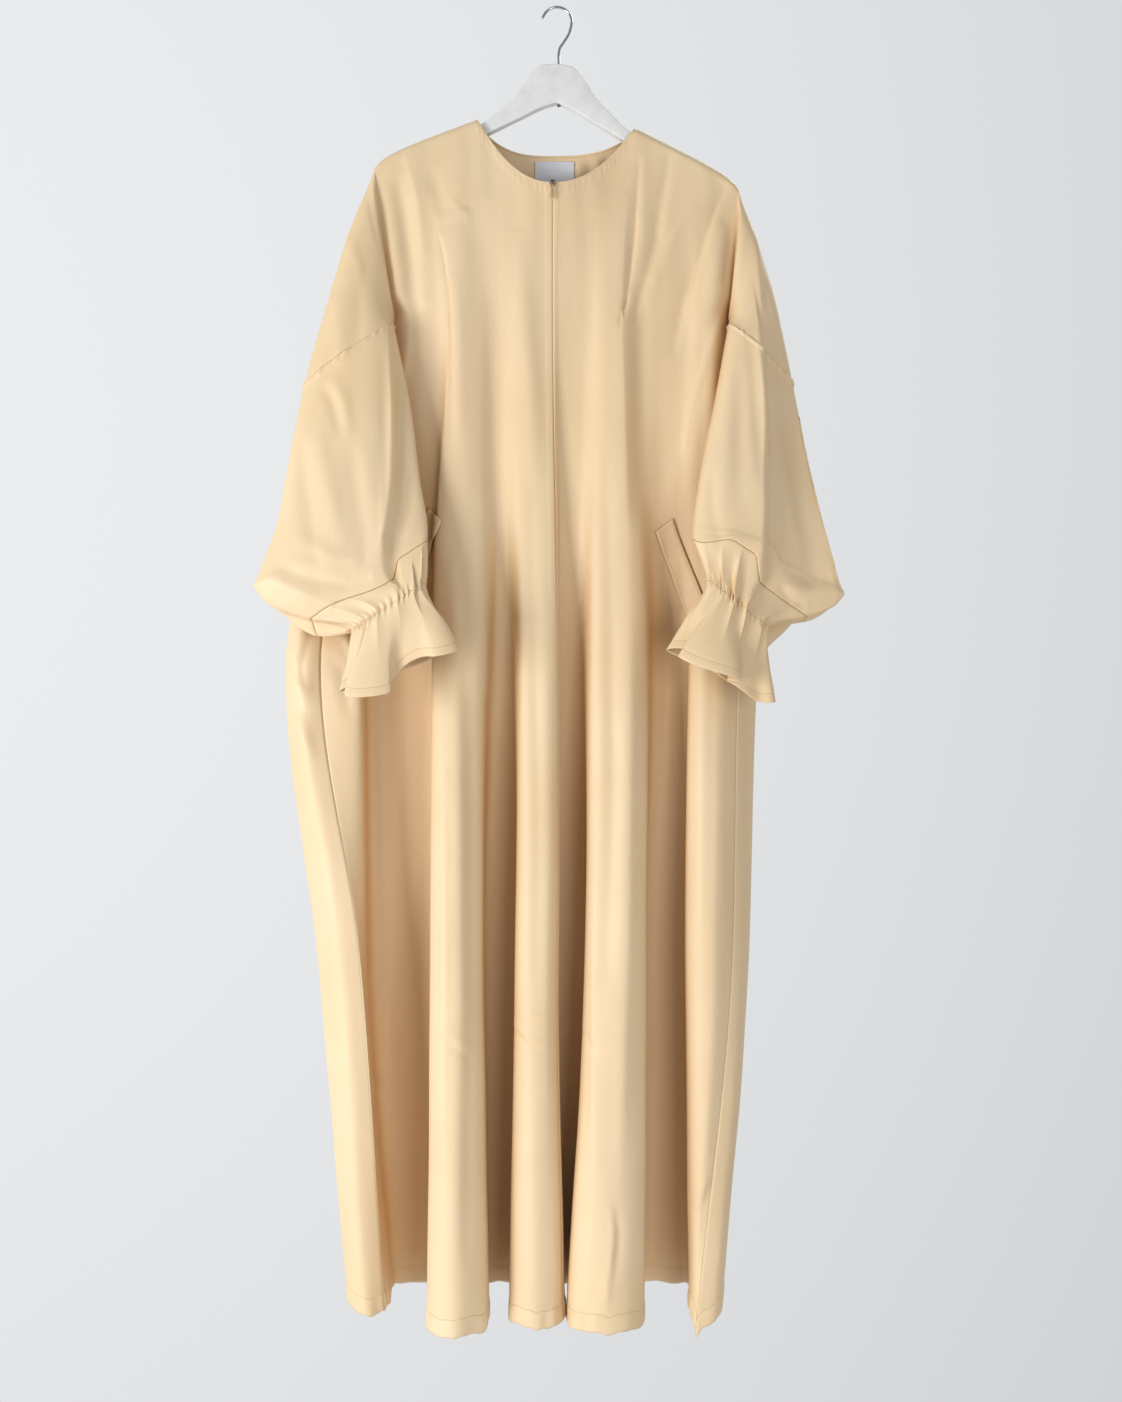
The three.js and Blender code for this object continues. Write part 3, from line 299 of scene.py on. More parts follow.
# ---- Creases ----
# Each crease: its path downwards in x and z, its height (a trough is negative), half width, roundness
# (2 is soft, 1 is a pressed edge), and how many times as wide it is on its +X side.
Crease = namedtuple("Crease", "path height width round far", defaults=[2, 1])
FRONT_CREASES = [
    # drag lines from the wearer's left shoulder to the bust
    Crease([(99, -182), (96, -226), (93, -277), (88, -320), (81, -368)], -4.4, 10, 1.2, 0.3),
    Crease([(84, -350), (79, -370), (71, -385)], -3.6, 3, 1.1, 0.8),
    Crease([(86, -225), (81, -270), (78, -330), (77, -400), (80, -500), (84, -640)], 3.2, 22, 1.3, 0.35),
    Crease([(136, -172), (129, -220), (123, -250), (119, -286), (109, -319), (99, -354), (92, -384)], -4.4,
        10, 1.3, 0.4),
    Crease([(166, -236), (155, -252), (142, -270), (131, -296), (120, -323), (111, -352), (108, -380)], 2.2,
        4, 1.2, 3),
    Crease([(204, -215), (192, -237), (181, -268), (171, -299), (161, -325), (152, -358), (137, -420)],
        -5.4, 13, 1.2, 0.3),
    Crease([(203, -262), (194, -300), (184, -345), (172, -400)], 3.9, 13),
    Crease([(202, -348), (190, -384), (173, -439), (158, -488), (150, -540)], 3.4, 3.4, 1.1, 3),
    Crease([(214, -246), (209, -275), (203, -307), (199, -340)], -2.4, 5, 1.4),
    Crease([(110, -330), (100, -400), (97, -500), (98, -620)], -3.9, 11),
    Crease([(46, -250), (43, -330), (41, -420), (42, -520), (44, -620)], -2.8, 24, 1.6, 0.7),
    Crease([(132, -155), (127, -168)], -2.0, 3.2, 1.3),
    Crease([(158, -169), (156, -183)], -2.0, 3.2, 1.3),
    Crease([(180, -181), (175, -191)], -1.6, 3.2, 1.3),
    # towards the wearer's right shoulder
    Crease([(-182, -176), (-172, -211), (-165, -242), (-162, -277), (-159, -310)], 1.6, 4, 1.1, 2.6),
    Crease([(-192, -205), (-182, -250), (-174, -310), (-168, -400)], -4.5, 10),
    Crease([(-141, -276), (-135, -300), (-131, -335), (-129, -373), (-127, -440), (-128, -520)], -3.2, 4,
        1.1, 0.5),
    Crease([(-156, -230), (-147, -300), (-142, -400), (-139, -520), (-137, -640)], -4.6, 40, 1.6, 0.35),
    Crease([(-122, -320), (-117, -360), (-115, -430), (-114, -540)], 1.2, 7),
    Crease([(-146, -258), (-126, -252), (-104, -250)], 1.2, 5, 1.4),
    Crease([(-150, -270), (-128, -266), (-108, -262)], -1.1, 5, 1.4),
    Crease([(-128, -232), (-116, -246), (-100, -254)], 0.9, 4),
    Crease([(-96, -236), (-86, -300), (-80, -380), (-77, -500), (-78, -600)], -4.0, 20, 1.8, 0.8),
    Crease([(-46, -270), (-38, -380), (-28, -480), (-20, -580)], 2.7, 12),
    Crease([(-150, -196), (-140, -230), (-134, -262)], -1.8, 9),
    # long soft folds down the skirt
    Crease([(-122, -640), (-116, -800), (-112, -980), (-108, -1200)], 2.4, 9),
    Crease([(-88, -620), (-90, -720), (-94, -830)], 3.6, 16),
    Crease([(-99, -810), (-98, -950), (-97, -1150), (-100, -1480)], -3.3, 10),
    Crease([(-132, -900), (-128, -1100), (-130, -1400)], 1.2, 6),
    Crease([(-30, -560), (-26, -760), (-22, -1000), (-24, -1300)], -2.7, 9),
    Crease([(-12, -700), (-10, -1000), (-10, -1400)], 1.2, 6),
    Crease([(58, -520), (62, -700), (64, -900), (58, -1160)], -3.3, 9),
    Crease([(84, -620), (84, -820), (80, -1100), (70, -1400)], 2.7, 9),
    Crease([(44, -1000), (42, -1200), (41, -1396), (37, -1456), (31, -1512)], 2.2, 4, 1.3, 2.2),
    Crease([(60, -1404), (64, -1437), (59, -1487), (55, -1524)], 2.2, 4, 1.3),
    Crease([(69, -1410), (71, -1445), (66, -1490)], -1.6, 4, 1.3),
    Crease([(118, -1290), (128, -1246), (136, -1210)], 0.9, 3, 1.2),
    Crease([(104, -1398), (116, -1372), (130, -1340)], 0.9, 2.6, 1.2),
    Crease([(172, -720), (170, -900), (166, -1100)], 2.1, 8),
    Crease([(-214, -760), (-208, -1000), (-206, -1200)], 2.7, 9),
    Crease([(-190, -800), (-184, -1000), (-178, -1240)], -2.4, 9),
    Crease([(130, -620), (132, -800), (136, -1000)], -2.1, 8),
    # pressed marks across the folds
    Crease([(-48, -1196), (-30, -1192), (-6, -1198)], 1.3, 3.2, 1.3),
    Crease([(-50, -1203), (-30, -1221), (-4, -1226)], 1.5, 3.2, 1.3),
    Crease([(-50, -1211), (-28, -1230), (-4, -1234)], -1.0, 4),
    Crease([(-146, -1216), (-118, -1226), (-92, -1243)], -1.2, 5),
    Crease([(-142, -1206), (-118, -1214), (-94, -1230)], 0.9, 5),
    Crease([(30, -1214), (40, -1226), (46, -1244)], -1.4, 3.6, 1.3),
    Crease([(-236, -1310), (-214, -1284), (-194, -1264), (-168, -1244)], 1.2, 7),
    Crease([(-232, -1322), (-210, -1296), (-188, -1276)], -1.0, 7),
    Crease([(161, -1416), (172, -1396), (190, -1366)], 2.2, 6),
    Crease([(168, -1424), (180, -1402), (194, -1380)], -1.6, 6),
    # pocket bags behind the cloth
    Crease([(50, -910), (80, -913), (112, -910)], -0.9, 4, 1.4),
    Crease([(-124, -922), (-108, -920), (-92, -915)], -0.9, 4, 1.4),
    # bunched cloth over the wearer's right hip
    Crease([(-262, -720), (-240, -735), (-222, -765)], -4.6, 6, 1.3),
    Crease([(-268, -738), (-248, -756), (-232, -790)], 4.4, 5, 1.3),
    Crease([(-270, -776), (-254, -800), (-244, -850)], -3.3, 8),
]
BACK_CREASES = [
    # bunched cloth over the wearer's right hip
    Crease([(-286, -730), (-299, -752), (-309, -772), (-306, -798)], 4.0, 5, 1.2),
    Crease([(-280, -745), (-294, -766), (-301, -790), (-296, -815)], -4.0, 5, 1.2),
    Crease([(-310, -800), (-298, -818), (-284, -812)], 3.4, 5, 1.3),
    Crease([(-316, -820), (-304, -838), (-288, -846)], -3.0, 6, 1.4),
    Crease([(-312, -850), (-298, -868), (-284, -900)], 2.4, 8),
    *(Crease([(24 + 11 * i, -168 + i), (27 + 11 * i, -182), (28 + 12 * i, -200)], (-1.9, 1.6)[i % 2],
        3.6) for i in range(6)),
    Crease([(-170, -190), (-150, -250), (-128, -330), (-116, -430)], -3.4, 9, 1.3, 0.4),
    Crease([(-150, -182), (-134, -240), (-112, -330), (-100, -420)], 2.4, 9),
    Crease([(-186, -230), (-172, -300), (-158, -390), (-150, -480)], 2.2, 10),
    Crease([(172, -196), (150, -260), (130, -350), (120, -450)], -3.4, 9, 1.3, 0.4),
    Crease([(188, -224), (172, -300), (154, -400), (148, -500)], 2.4, 10),
    Crease([(140, -190), (126, -250), (112, -340), (104, -430)], 2.0, 8),
    Crease([(-60, -240), (-64, -340), (-70, -480), (-74, -640)], -2.0, 14),
    Crease([(36, -250), (40, -360), (44, -520), (48, -700)], -2.2, 14),
    Crease([(-8, -260), (-10, -420), (-14, -600)], 1.8, 14),
    Crease([(-150, -520), (-156, -700), (-160, -900)], 2.0, 12),
    Crease([(-96, -600), (-102, -800), (-108, -1050)], -2.4, 10),
    Crease([(-30, -760), (-32, -960), (-36, -1240)], 2.2, 11),
    Crease([(60, -700), (66, -940), (62, -1200)], 2.2, 10),
    Crease([(120, -560), (130, -760), (134, -980)], -2.2, 11),
    Crease([(186, -640), (192, -820), (190, -1040)], 2.0, 11),
    Crease([(-210, -700), (-218, -900), (-214, -1160)], -2.2, 12),
    Crease([(-60, -1180), (-30, -1190), (6, -1184)], 1.3, 4, 1.4),
    Crease([(-64, -1192), (-30, -1206), (10, -1200)], -1.0, 5),
    Crease([(92, -1030), (120, -1050), (152, -1052)], 1.2, 5),
    Crease([(-200, -1320), (-176, -1290), (-150, -1276)], 1.2, 7),
    Crease([(-160, -860), (-130, -872), (-100, -868)], -0.9, 5),
]
CAP_CREASES = dict(
    right=[
        Crease([(-254, -276), (-243, -292), (-234, -312), (-229, -338)], 2.0, 5, 1.2, 0.5),
        Crease([(-228, -204), (-221, -240), (-211, -280), (-203, -318)], -2.2, 2.6, 1.2, 1.4),
        Crease([(-222, -204), (-215, -240), (-206, -280), (-199, -318)], 2.0, 2.4, 1.2),
        Crease([(-217, -204), (-210, -240), (-202, -276), (-196, -304)], -2.0, 2.2, 1.2),
        Crease([(-262, -350), (-256, -400), (-252, -440)], 1.4, 9),
        Crease([(-236, -340), (-232, -380), (-236, -420)], -1.4, 9),
        Crease([(-288, -430), (-276, -410), (-270, -370)], -1.0, 6),
    ],
    left=[
        Crease([(236, -262), (238, -310), (240, -372)], 2.2, 4, 1.3),
        Crease([(244, -270), (247, -320), (249, -380)], -1.6, 6),
        Crease([(222, -260), (214, -320), (212, -370)], 1.4, 6),
        Crease([(228, -330), (222, -352), (216, -376)], 1.2, 5),
        Crease([(262, -380), (258, -400), (256, -426)], -1.0, 7),
    ],
)
SLEEVE_CREASES = dict(
    right=[
        Crease([(-192, -400), (-190, -470), (-188, -560), (-186, -640)], 2.2, 5, 1.4),
        Crease([(-200, -420), (-199, -500), (-197, -600)], -1.8, 8),
        Crease([(-276, -462), (-262, -480), (-250, -520)], -1.8, 7),
        Crease([(-262, -452), (-248, -480), (-238, -530)], 1.6, 8),
        Crease([(-300, -520), (-286, -600), (-276, -670)], -2.2, 11),
        Crease([(-278, -520), (-258, -600), (-240, -664)], 2.2, 12),
        Crease([(-236, -540), (-224, -620), (-214, -680)], -2.0, 10),
        Crease([(-330, -690), (-296, -706), (-252, -722)], 2.6, 8),
        Crease([(-322, -676), (-286, -690), (-240, -700), (-210, -690)], -2.4, 8),
        Crease([(-300, -640), (-262, -664), (-222, -672)], 1.6, 9),
        Crease([(-166, -560), (-172, -610), (-186, -660)], -1.8, 7),
    ],
    left=[
        Crease([(234, -392), (240, -470), (246, -560), (248, -640)], 2.6, 4, 1.3),
        Crease([(226, -400), (230, -480), (236, -580)], -1.6, 7),
        Crease([(204, -420), (196, -500), (190, -590), (182, -640)], 1.8, 9),
        Crease([(216, -440), (212, -520), (208, -620)], -1.8, 9),
        Crease([(268, -470), (276, -550), (286, -640)], -2.2, 10),
        Crease([(256, -500), (266, -580), (280, -670)], 1.8, 9),
        Crease([(326, -700), (296, -706), (262, -702)], 2.2, 8),
        Crease([(318, -686), (290, -690), (262, -680)], -2.0, 8),
        Crease([(286, -722), (268, -716), (254, -700)], -1.8, 6),
        Crease([(176, -560), (180, -620), (190, -668)], -1.6, 7),
    ],
)


def relief_of(creases, x, z):
    """Sum over creases of height * exp(-(d / width)^round) * sqrt(sin(pi t)), where d is the distance to the
    crease's path, width the one for that side of it, and t the share of the way along it."""
    total = np.zeros(np.shape(x))
    for crease in creases:
        path = np.array(crease.path, float)
        legs = np.diff(path, axis=0)
        lengths = np.linalg.norm(legs, axis=1)
        before = np.concatenate([[0], np.cumsum(lengths)])
        near, along = np.full(np.shape(x), 1e9), np.zeros(np.shape(x))
        for start, leg, length, done in zip(path, legs, lengths, before):
            t = np.clip(((x - start[0]) * leg[0] + (z - start[1]) * leg[1]) / length**2, 0, 1)
            aside, above = x - start[0] - t * leg[0], z - start[1] - t * leg[1]
            far_side = leg[0] * above - leg[1] * aside > 0
            d = np.hypot(aside, above) / np.where(far_side, crease.width * crease.far, crease.width)
            along = np.where(d < near, done + t * length, along)
            near = np.minimum(near, d)
        end = np.sqrt(np.maximum(np.sin(np.pi * along / before[-1]), 0))
        total += crease.height * end * np.exp(-(near**crease.round))
    return total


def ripple(x, z, seed):
    """Low uneven waves, long down the cloth: three sines in x whose phases wander with z."""
    total = 0
    for i, (length, height) in enumerate([(71, 0.45), (43, 0.28), (27, 0.14)]):
        wander = 1.7 * np.sin(z / (150 + 40 * i) + seed + i) + 0.8 * np.sin(z / 61 + 2 * i + seed)
        total = total + height * np.sin(2 * np.pi * x / length + wander + seed * (i + 1))
    return total


def bell(d, width):
    """exp(-(d / width)^2)."""
    return np.exp(-((d / width) ** 2))


def sheet_relief(sheet, u, z, p):
    """How far a sheet's cloth stands off its plain surface: creases and ripples, faded out at the top edge
    and the side seams, and the dips and puckers of the seams and the hem."""
    x = p[..., 0]
    creases, seed = (FRONT_CREASES, 0.4) if sheet == "front" else (BACK_CREASES, 2.1)
    top = top_edge(np.interp(u, np.arange(STATIONS + 1), TOP_X), sheet)
    below, to_side = top - z, np.minimum(u, STATIONS - u)
    folds = (relief_of(creases, x, z) + ripple(x, z, seed)) * smooth(below / 16) * smooth(to_side / 0.9)
    above_hem = z - row_height(sheet, u, np.full(u.shape, float(ROWS)))
    across = 28 * u
    pucker = np.sin(across / 3.1 + 1.6 * np.sin(across / 9.3)) * (0.6 + 0.4 * np.sin(across / 11.7))
    hem = HEM_PUCKER[sheet] * pucker * bell(above_hem - 6, 15) - 0.7 * bell(above_hem - HEM_TURN, 2.4)
    hem = hem + 0.5 * (1 - smooth((above_hem - HEM_TURN) / 1.5))
    seams = -0.6 * bell(to_side * 30, 3) * smooth((ARMPIT - z) / 20)
    if sheet == "front":
        seams = seams - SEAM_DIP * bell((u - CENTRE) * 22, 1.3) * smooth(below / 12)
        facing = 0.35 * smooth((11 - np.abs(u - CENTRE) * 22) / 2.5) * smooth(below / 12)
        turned = 0.45 * (0.5 + 0.5 * np.sin(u * 15.5 + 2 * np.sin(3 * u)))
        turned = turned * bell(below - 6, 5) * (np.abs(u - CENTRE) < 5)
        seams = seams + facing + turned
    return folds + hem + seams


def draped(sheet, u, z, lift=0.0):
    """Points of a sheet with its relief: the plain surface moved along its normal, which is the cross product
    of short steps across and down it."""
    p = sheet_points(sheet, u, z)
    left, right = np.maximum(u - 0.03, 0), np.minimum(u + 0.03, STATIONS - 1e-6)
    across = sheet_points(sheet, right, z) - sheet_points(sheet, left, z)
    along = sheet_points(sheet, u, z - 0.6) - p
    normal = unit(np.cross(along, across)) * (1 if sheet == "front" else -1)
    return p + normal * (sheet_relief(sheet, u, z, p) + lift)[..., None]


# ---- Sleeves ----
def sleeve_points(side, s, a):
    """Points of a sleeve at section s and angle a (a full turn is 1): an oval between the section's ends with
    depth |sin|^0.62, with a step and then a far slope in its front. The cuff seam rises in front, the back
    sags over the cuff, the frill's lobes overhang and drop, and its waves and the gathers push it out."""
    rows = SLEEVES[side]
    index = -np.arange(len(SLEEVE_ROWS))

    def at(values):
        return down(-s, index, values)

    flared = smooth((s - ELASTIC) / (FRILL_HEM - ELASTIC))
    lobes, _, phase = FRILL_WAVES[side][0]
    ahead = 0.4 + 0.6 * smooth(np.sin(2 * np.pi * a) / 0.6 + 0.3)
    overhang = LOBE_OVERHANG[side] * flared * ahead * np.sin(4 * np.pi * lobes * a + 2 * phase)
    round_it = 2 * np.pi * (a + overhang)
    turn = np.sin(round_it)
    e = 0.5 - 0.5 * np.cos(round_it)
    pointed = bell(s - TIP, 1.0)
    outer_x, inner_x = at(rows["outer_x"]), at(rows["inner_x"])
    outer_x = outer_x + pointed * (np.interp(s, -index, rows["outer_x"]) - outer_x)
    x = outer_x + (inner_x - outer_x) * e
    z = at(rows["outer_z"]) + (at(rows["inner_z"]) - at(rows["outer_z"])) * e
    sag = BACK_SAG[side] * bell(s - 7.9, 0.9) * bell(e - 0.05, 0.4)
    z = z - sag * smooth(-turn / 0.5) * smooth((ELASTIC - s) / 0.4)
    rise, start, full, end = CUFF_SHIFT[side]
    kept = smooth((e - end) * np.sign(start - full) / 0.04 + 0.5)
    near_cuff = np.where(s < CUFF, bell(s - CUFF, 2.3), bell(s - CUFF, 0.5)) * smooth(turn / 0.4)
    z = z + rise * near_cuff * smooth((e - start) / (full - start)) * kept
    for place, width, drop in LOBE_DROPS[side]:
        z = z - drop * flared * bell((a - place + 0.5) % 1 - 0.5, width)
    middle = at(DEPTHS["y"])
    y = middle + np.abs(turn) ** 0.62 * np.where(turn > 0, -at(DEPTHS["ahead"]), at(DEPTHS["behind"]))
    past = rows["step_sign"] * (e - at(rows["step"]))
    y = y + np.where(turn > 0, at(STEP_DEPTH) * smooth(past / 0.06 + 0.5) * np.sqrt(np.maximum(turn, 0)), 0)
    y = y + FAR_SLOPE[side] * smooth(past / 0.35) * np.sqrt(np.maximum(turn, 0)) * bell(s - 5, 2.6)
    away = np.stack([x - (outer_x + inner_x) / 2, y - middle, np.zeros_like(x)], -1)
    puff = gather_relief(side, s, a)
    for waves, height, phase in FRILL_WAVES[side]:
        puff = puff + height * flared * ahead * np.cos(2 * np.pi * waves * a + phase)
    return np.stack([x, y, z], -1) + unit(away) * puff[..., None]


def gather_relief(side, s, a):
    """Gathers round the wrist: a cosine with a wandering phase and uneven height, strongest at the elastic,
    drawn out into fewer, softer folds up the cuff and out along the frill."""
    seed = 0.0 if side == "right" else 1.9
    turn = 2 * np.pi * a
    phase = 1.3 * np.sin(2 * turn + seed) + 0.8 * np.sin(5 * turn + 2 * seed + 0.4)
    fine = np.cos(GATHERS * turn + phase) * (0.75 + 0.25 * np.sin(3 * turn + seed))
    sharp = 1 - 2 * np.abs(np.sin((CUFF_FOLDS * turn + phase + seed) / 2)) ** 0.8
    soft = sharp * (0.65 + 0.35 * np.cos(2 * turn + 1.7 * seed))
    off = s - ELASTIC
    tight = np.where(off < 0, bell(off, 0.22), bell(off, 0.16))
    drawn = np.where(off < 0, bell(off + 0.3, 0.42), 0.75 * bell(off - 0.3, 0.55))
    grooves = -0.8 * (bell(off + 0.09, 0.03) + bell(off - 0.09, 0.03))
    return GATHER_HEIGHT * fine * tight + CUFF_FOLD_HEIGHT * soft * drawn + grooves


def sleeve_relief(side, s, a, p):
    """Creases of the dropped shoulder and the sleeve, the band of turned cloth under the armhole seam, and
    the dips of its seams. The far side has the same creases, shifted down and weaker."""
    x, z = p[..., 0], p[..., 2]
    turn = np.sin(2 * np.pi * a)
    facing = smooth(np.abs(turn) / 0.35)
    creases = CAP_CREASES[side] + SLEEVE_CREASES[side]
    front = relief_of(creases, x, z)
    far = 0.8 * relief_of(creases, x - 6, z + 24)
    folds = np.where(turn > 0, front, far) * facing * smooth((s + 0.6) / 0.8) * (1 - smooth((s - 8) / 0.8))
    waves = 0.6 * ripple(x, z, 3.0 if side == "right" else 4.2)
    waves = waves * smooth(s / 1.2) * (1 - smooth((s - 8.2) / 0.6))
    past = s - ARMHOLE
    pucker = np.sin(150 * a + 2 * np.sin(31 * a)) * (0.6 + 0.4 * np.sin(57 * a))
    band = (1.3 + 0.7 * pucker) * smooth(past / 0.012) * (1 - smooth((past - 0.085) / 0.03))
    above = 0.3 * pucker * smooth((past + 0.1) / 0.06) * (past < 0)
    dips = -0.5 * bell(past, 0.012) - SEAM_DIP * bell(s - CUFF, 0.03)
    hem = -0.6 * bell(s - frill_stitch(), 0.03)
    joint = -0.7 * bell((a - FRILL_SEAM[side]) * 270, 1.3) * smooth((s - ELASTIC) / 0.3)
    return folds + waves + band + above + dips + hem + joint


def frill_stitch():
    """Section at which the frill's hem is stitched, FRILL_TURN above its edge; the frill is about 85 long."""
    return FRILL_HEM - 2 * FRILL_TURN / 85


def sleeve_cloth(side, s, a, lift=0.0):
    """Points of a sleeve with its relief, moved along the normal of its plain surface."""
    p = sleeve_points(side, s, a)
    along = sleeve_points(side, s + 0.004, a) - sleeve_points(side, s - 0.004, a)
    round_it = sleeve_points(side, s, a + 0.002) - sleeve_points(side, s, a - 0.002)
    normal = unit(np.cross(along, round_it)) * (1 if side == "right" else -1)
    return p + normal * (sleeve_relief(side, s, a, p) + lift)[..., None]


# ---- Meshes ----
Patch = namedtuple("Patch", "points index uv stitch flip")
FAR_FROM_STITCHES = 1.0


def faces_of(grid, flip):
    """Corners of each quad of a grid, in the order that turns the quads outwards."""
    corners = np.stack([grid[:-1, :-1], grid[1:, :-1], grid[1:, 1:], grid[:-1, 1:]], 2)
    corners = corners.reshape(-1, *corners.shape[2:])
    return corners[:, ::-1] if flip else corners


def mesh_of(name, patches, weld=False):
    """One object from grids of points that share vertex numbers, with UV maps cut and stitch in metres."""
    vertices = np.zeros((max(patch.index.max() for patch in patches) + 1, 3))
    for patch in patches:
        vertices[patch.index] = patch.points * MM
    quads = np.concatenate([faces_of(patch.index, patch.flip) for patch in patches])
    mesh = bpy.data.meshes.new(name)
    mesh.from_pydata(vertices.tolist(), [], quads.tolist())
    for key, pick in (("cut", lambda patch: patch.uv), ("stitch", lambda patch: patch.stitch)):
        values = np.concatenate([faces_of(pick(patch), patch.flip) for patch in patches])
        layer = mesh.uv_layers.new(name=key)
        layer.data.foreach_set("uv", values.astype(np.float32).ravel())
    mesh.polygons.foreach_set("use_smooth", np.ones(len(mesh.polygons), bool))
    mesh.validate()
    obj = bpy.data.objects.new(name, mesh)
    bpy.context.scene.collection.objects.link(obj)
    if weld:
        close = obj.modifiers.new("weld", "WELD")
        close.merge_threshold = 1e-6
    return obj


def lengths_over(points, axis):
    """Distance along a grid's rows or columns, as running sums of the steps, in metres."""
    steps = np.linalg.norm(np.diff(points, axis=axis), axis=-1) * MM
    start = np.zeros_like(np.take(steps, [0], axis=axis))
    return np.concatenate([start, np.cumsum(steps, axis=axis)], axis=axis)


def plain_patch(points, flip=False, index=None, stitch=None):
    """A patch with its own numbers, mapped by the distances along its rows and columns."""
    shape = points.shape[:2]
    if index is None:
        index = np.arange(shape[0] * shape[1]).reshape(shape)
    uv = np.stack([lengths_over(points, 1), -lengths_over(points, 0)], -1)
    if stitch is None:
        stitch = np.full(uv.shape, FAR_FROM_STITCHES)
    return Patch(points, index, uv, stitch, flip)


def walled(obj, thickness):
    """Gives a surface its wall, inwards from the outer face."""
    wall = obj.modifiers.new("wall", "SOLIDIFY")
    wall.thickness = thickness * MM
    wall.offset = -1
    return obj


# ---- Materials ----
def linear(hex_colour):
    """sRGB hex to linear RGBA: ((c + 0.055) / 1.055)^2.4 above 0.04045, c / 12.92 below."""
    channels = [int(hex_colour[i : i + 2], 16) / 255 for i in (1, 3, 5)]
    return (*(c / 12.92 if c <= 0.04045 else ((c + 0.055) / 1.055) ** 2.4 for c in channels), 1.0)


def add(tree, kind, inputs=None, **settings):
    """Adds a node, sets its properties, and sets or links its inputs by name or number."""
    node = tree.nodes.new("ShaderNode" + kind)
    for key, value in settings.items():
        setattr(node, key, value)
    for key, value in (inputs or {}).items():
        if isinstance(value, bpy.types.NodeSocket):
            tree.links.new(value, node.inputs[key])
        else:
            node.inputs[key].default_value = value
    return node


def new_material(name, **sockets):
    """A material whose Principled shader has these values on its own sockets."""
    made = bpy.data.materials.new(name)
    made.use_nodes = True
    shader = made.node_tree.nodes["Principled BSDF"]
    for key, value in sockets.items():
        shader.inputs[key.replace("_", " ")].default_value = value
    return made, made.node_tree, shader


def finish_with(tree, shader, colour=None, roughness=None, bump=None):
    """Links a material's pattern outputs to its shader."""
    for socket, value in (("Base Color", colour), ("Roughness", roughness), ("Normal", bump)):
        if value is not None:
            tree.links.new(value, shader.inputs[socket])


def satin():
    """Polyester satin, woven with long floats: a soft sheen, faint vertical slubs and small crumples, and
    painted shade, darker and warmer, in its hollows.
    """
    made, tree, shader = new_material("polyester_satin")
    shader.inputs["Specular IOR Level"].default_value = 0.55
    cut = add(tree, "UVMap", uv_map="cut").outputs[0]
    place = add(tree, "TexCoord").outputs["Object"]
    # floats 0.7 mm wide and 6 mm long, coarser than the real 0.1 mm ones so that they show
    floats = add(tree, "Mapping", {"Vector": cut, "Scale": (1400, 170, 1)}).outputs[0]
    slub = add(tree, "TexNoise", {"Vector": floats, "Scale": 1.0, "Detail": 2.0}).outputs["Fac"]
    soft = add(tree, "Mapping", {"Vector": place, "Scale": (26, 26, 9)}).outputs[0]
    crumple = add(tree, "TexNoise", {"Vector": soft, "Scale": 1.0, "Detail": 5.0,
        "Roughness": 0.5}).outputs["Fac"]
    wide = add(tree, "TexNoise", {"Vector": place, "Scale": 5.0, "Detail": 2.0}).outputs["Fac"]
    tone = add(tree, "ValToRGB", {"Fac": wide})
    tone.color_ramp.elements[0].position, tone.color_ramp.elements[1].position = 0.3, 0.7
    tone.color_ramp.elements[0].color = linear("#E8CBA0")
    tone.color_ramp.elements[1].color = linear("#EED4AD")
    gloss = add(tree, "MapRange", {"Value": slub, "To Min": 0.5, "To Max": 0.6}).outputs[0]
    first = add(tree, "Bump", {"Height": crumple, "Strength": 0.35, "Distance": 0.004}).outputs[0]
    second = add(tree, "Bump", {"Height": slub, "Strength": 0.25, "Distance": 0.0002,
        "Normal": first}).outputs[0]
    # stitches 3.2 mm long with 0.6 mm between, 0.7 mm wide to show
    sewn = add(tree, "SeparateXYZ", {0: add(tree, "UVMap", uv_map="stitch").outputs[0]})
    off = add(tree, "Math", {0: sewn.outputs[1]}, operation="ABSOLUTE").outputs[0]
    line = add(tree, "MapRange", {"Value": off, "From Min": 0.0003, "From Max": 0.0008, "To Min": 1.0,
        "To Max": 0.0})
    beat = add(tree, "Math", {0: sewn.outputs[0], 1: 0.0038}, operation="MODULO").outputs[0]
    dash = add(tree, "Math", {0: beat, 1: 0.0032}, operation="LESS_THAN").outputs[0]
    thread = add(tree, "Math", {0: line.outputs[0], 1: dash}, operation="MULTIPLY").outputs[0]
    third = add(tree, "Bump", {"Height": thread, "Strength": 0.6, "Distance": 0.0004,
        "Normal": second}).outputs[0]
    # painted shade: where ambient occlusion finds hollows, the base colour is mixed towards a darker, warmer
    # tan, standing in for light that has passed through and off the cloth more than once
    open_to = add(tree, "AmbientOcclusion", {"Distance": 0.25}, samples=6).outputs["AO"]
    painted_shade_amount = add(tree, "MapRange", {"Value": open_to, "From Min": 0.3, "From Max": 0.8, "To Min": 0.62,
        "To Max": 0.0})
    painted_shade_colour = add(tree, "Mix", {0: painted_shade_amount.outputs[0], 6: tone.outputs[0], 7: linear("#BF935A")},
        data_type="RGBA")
    shade = add(tree, "Mix", {0: thread, 6: painted_shade_colour.outputs[2], 7: linear("#D9BC8C")},
        data_type="RGBA").outputs[2]
    finish_with(tree, shader, shade, gloss, third)
    return made


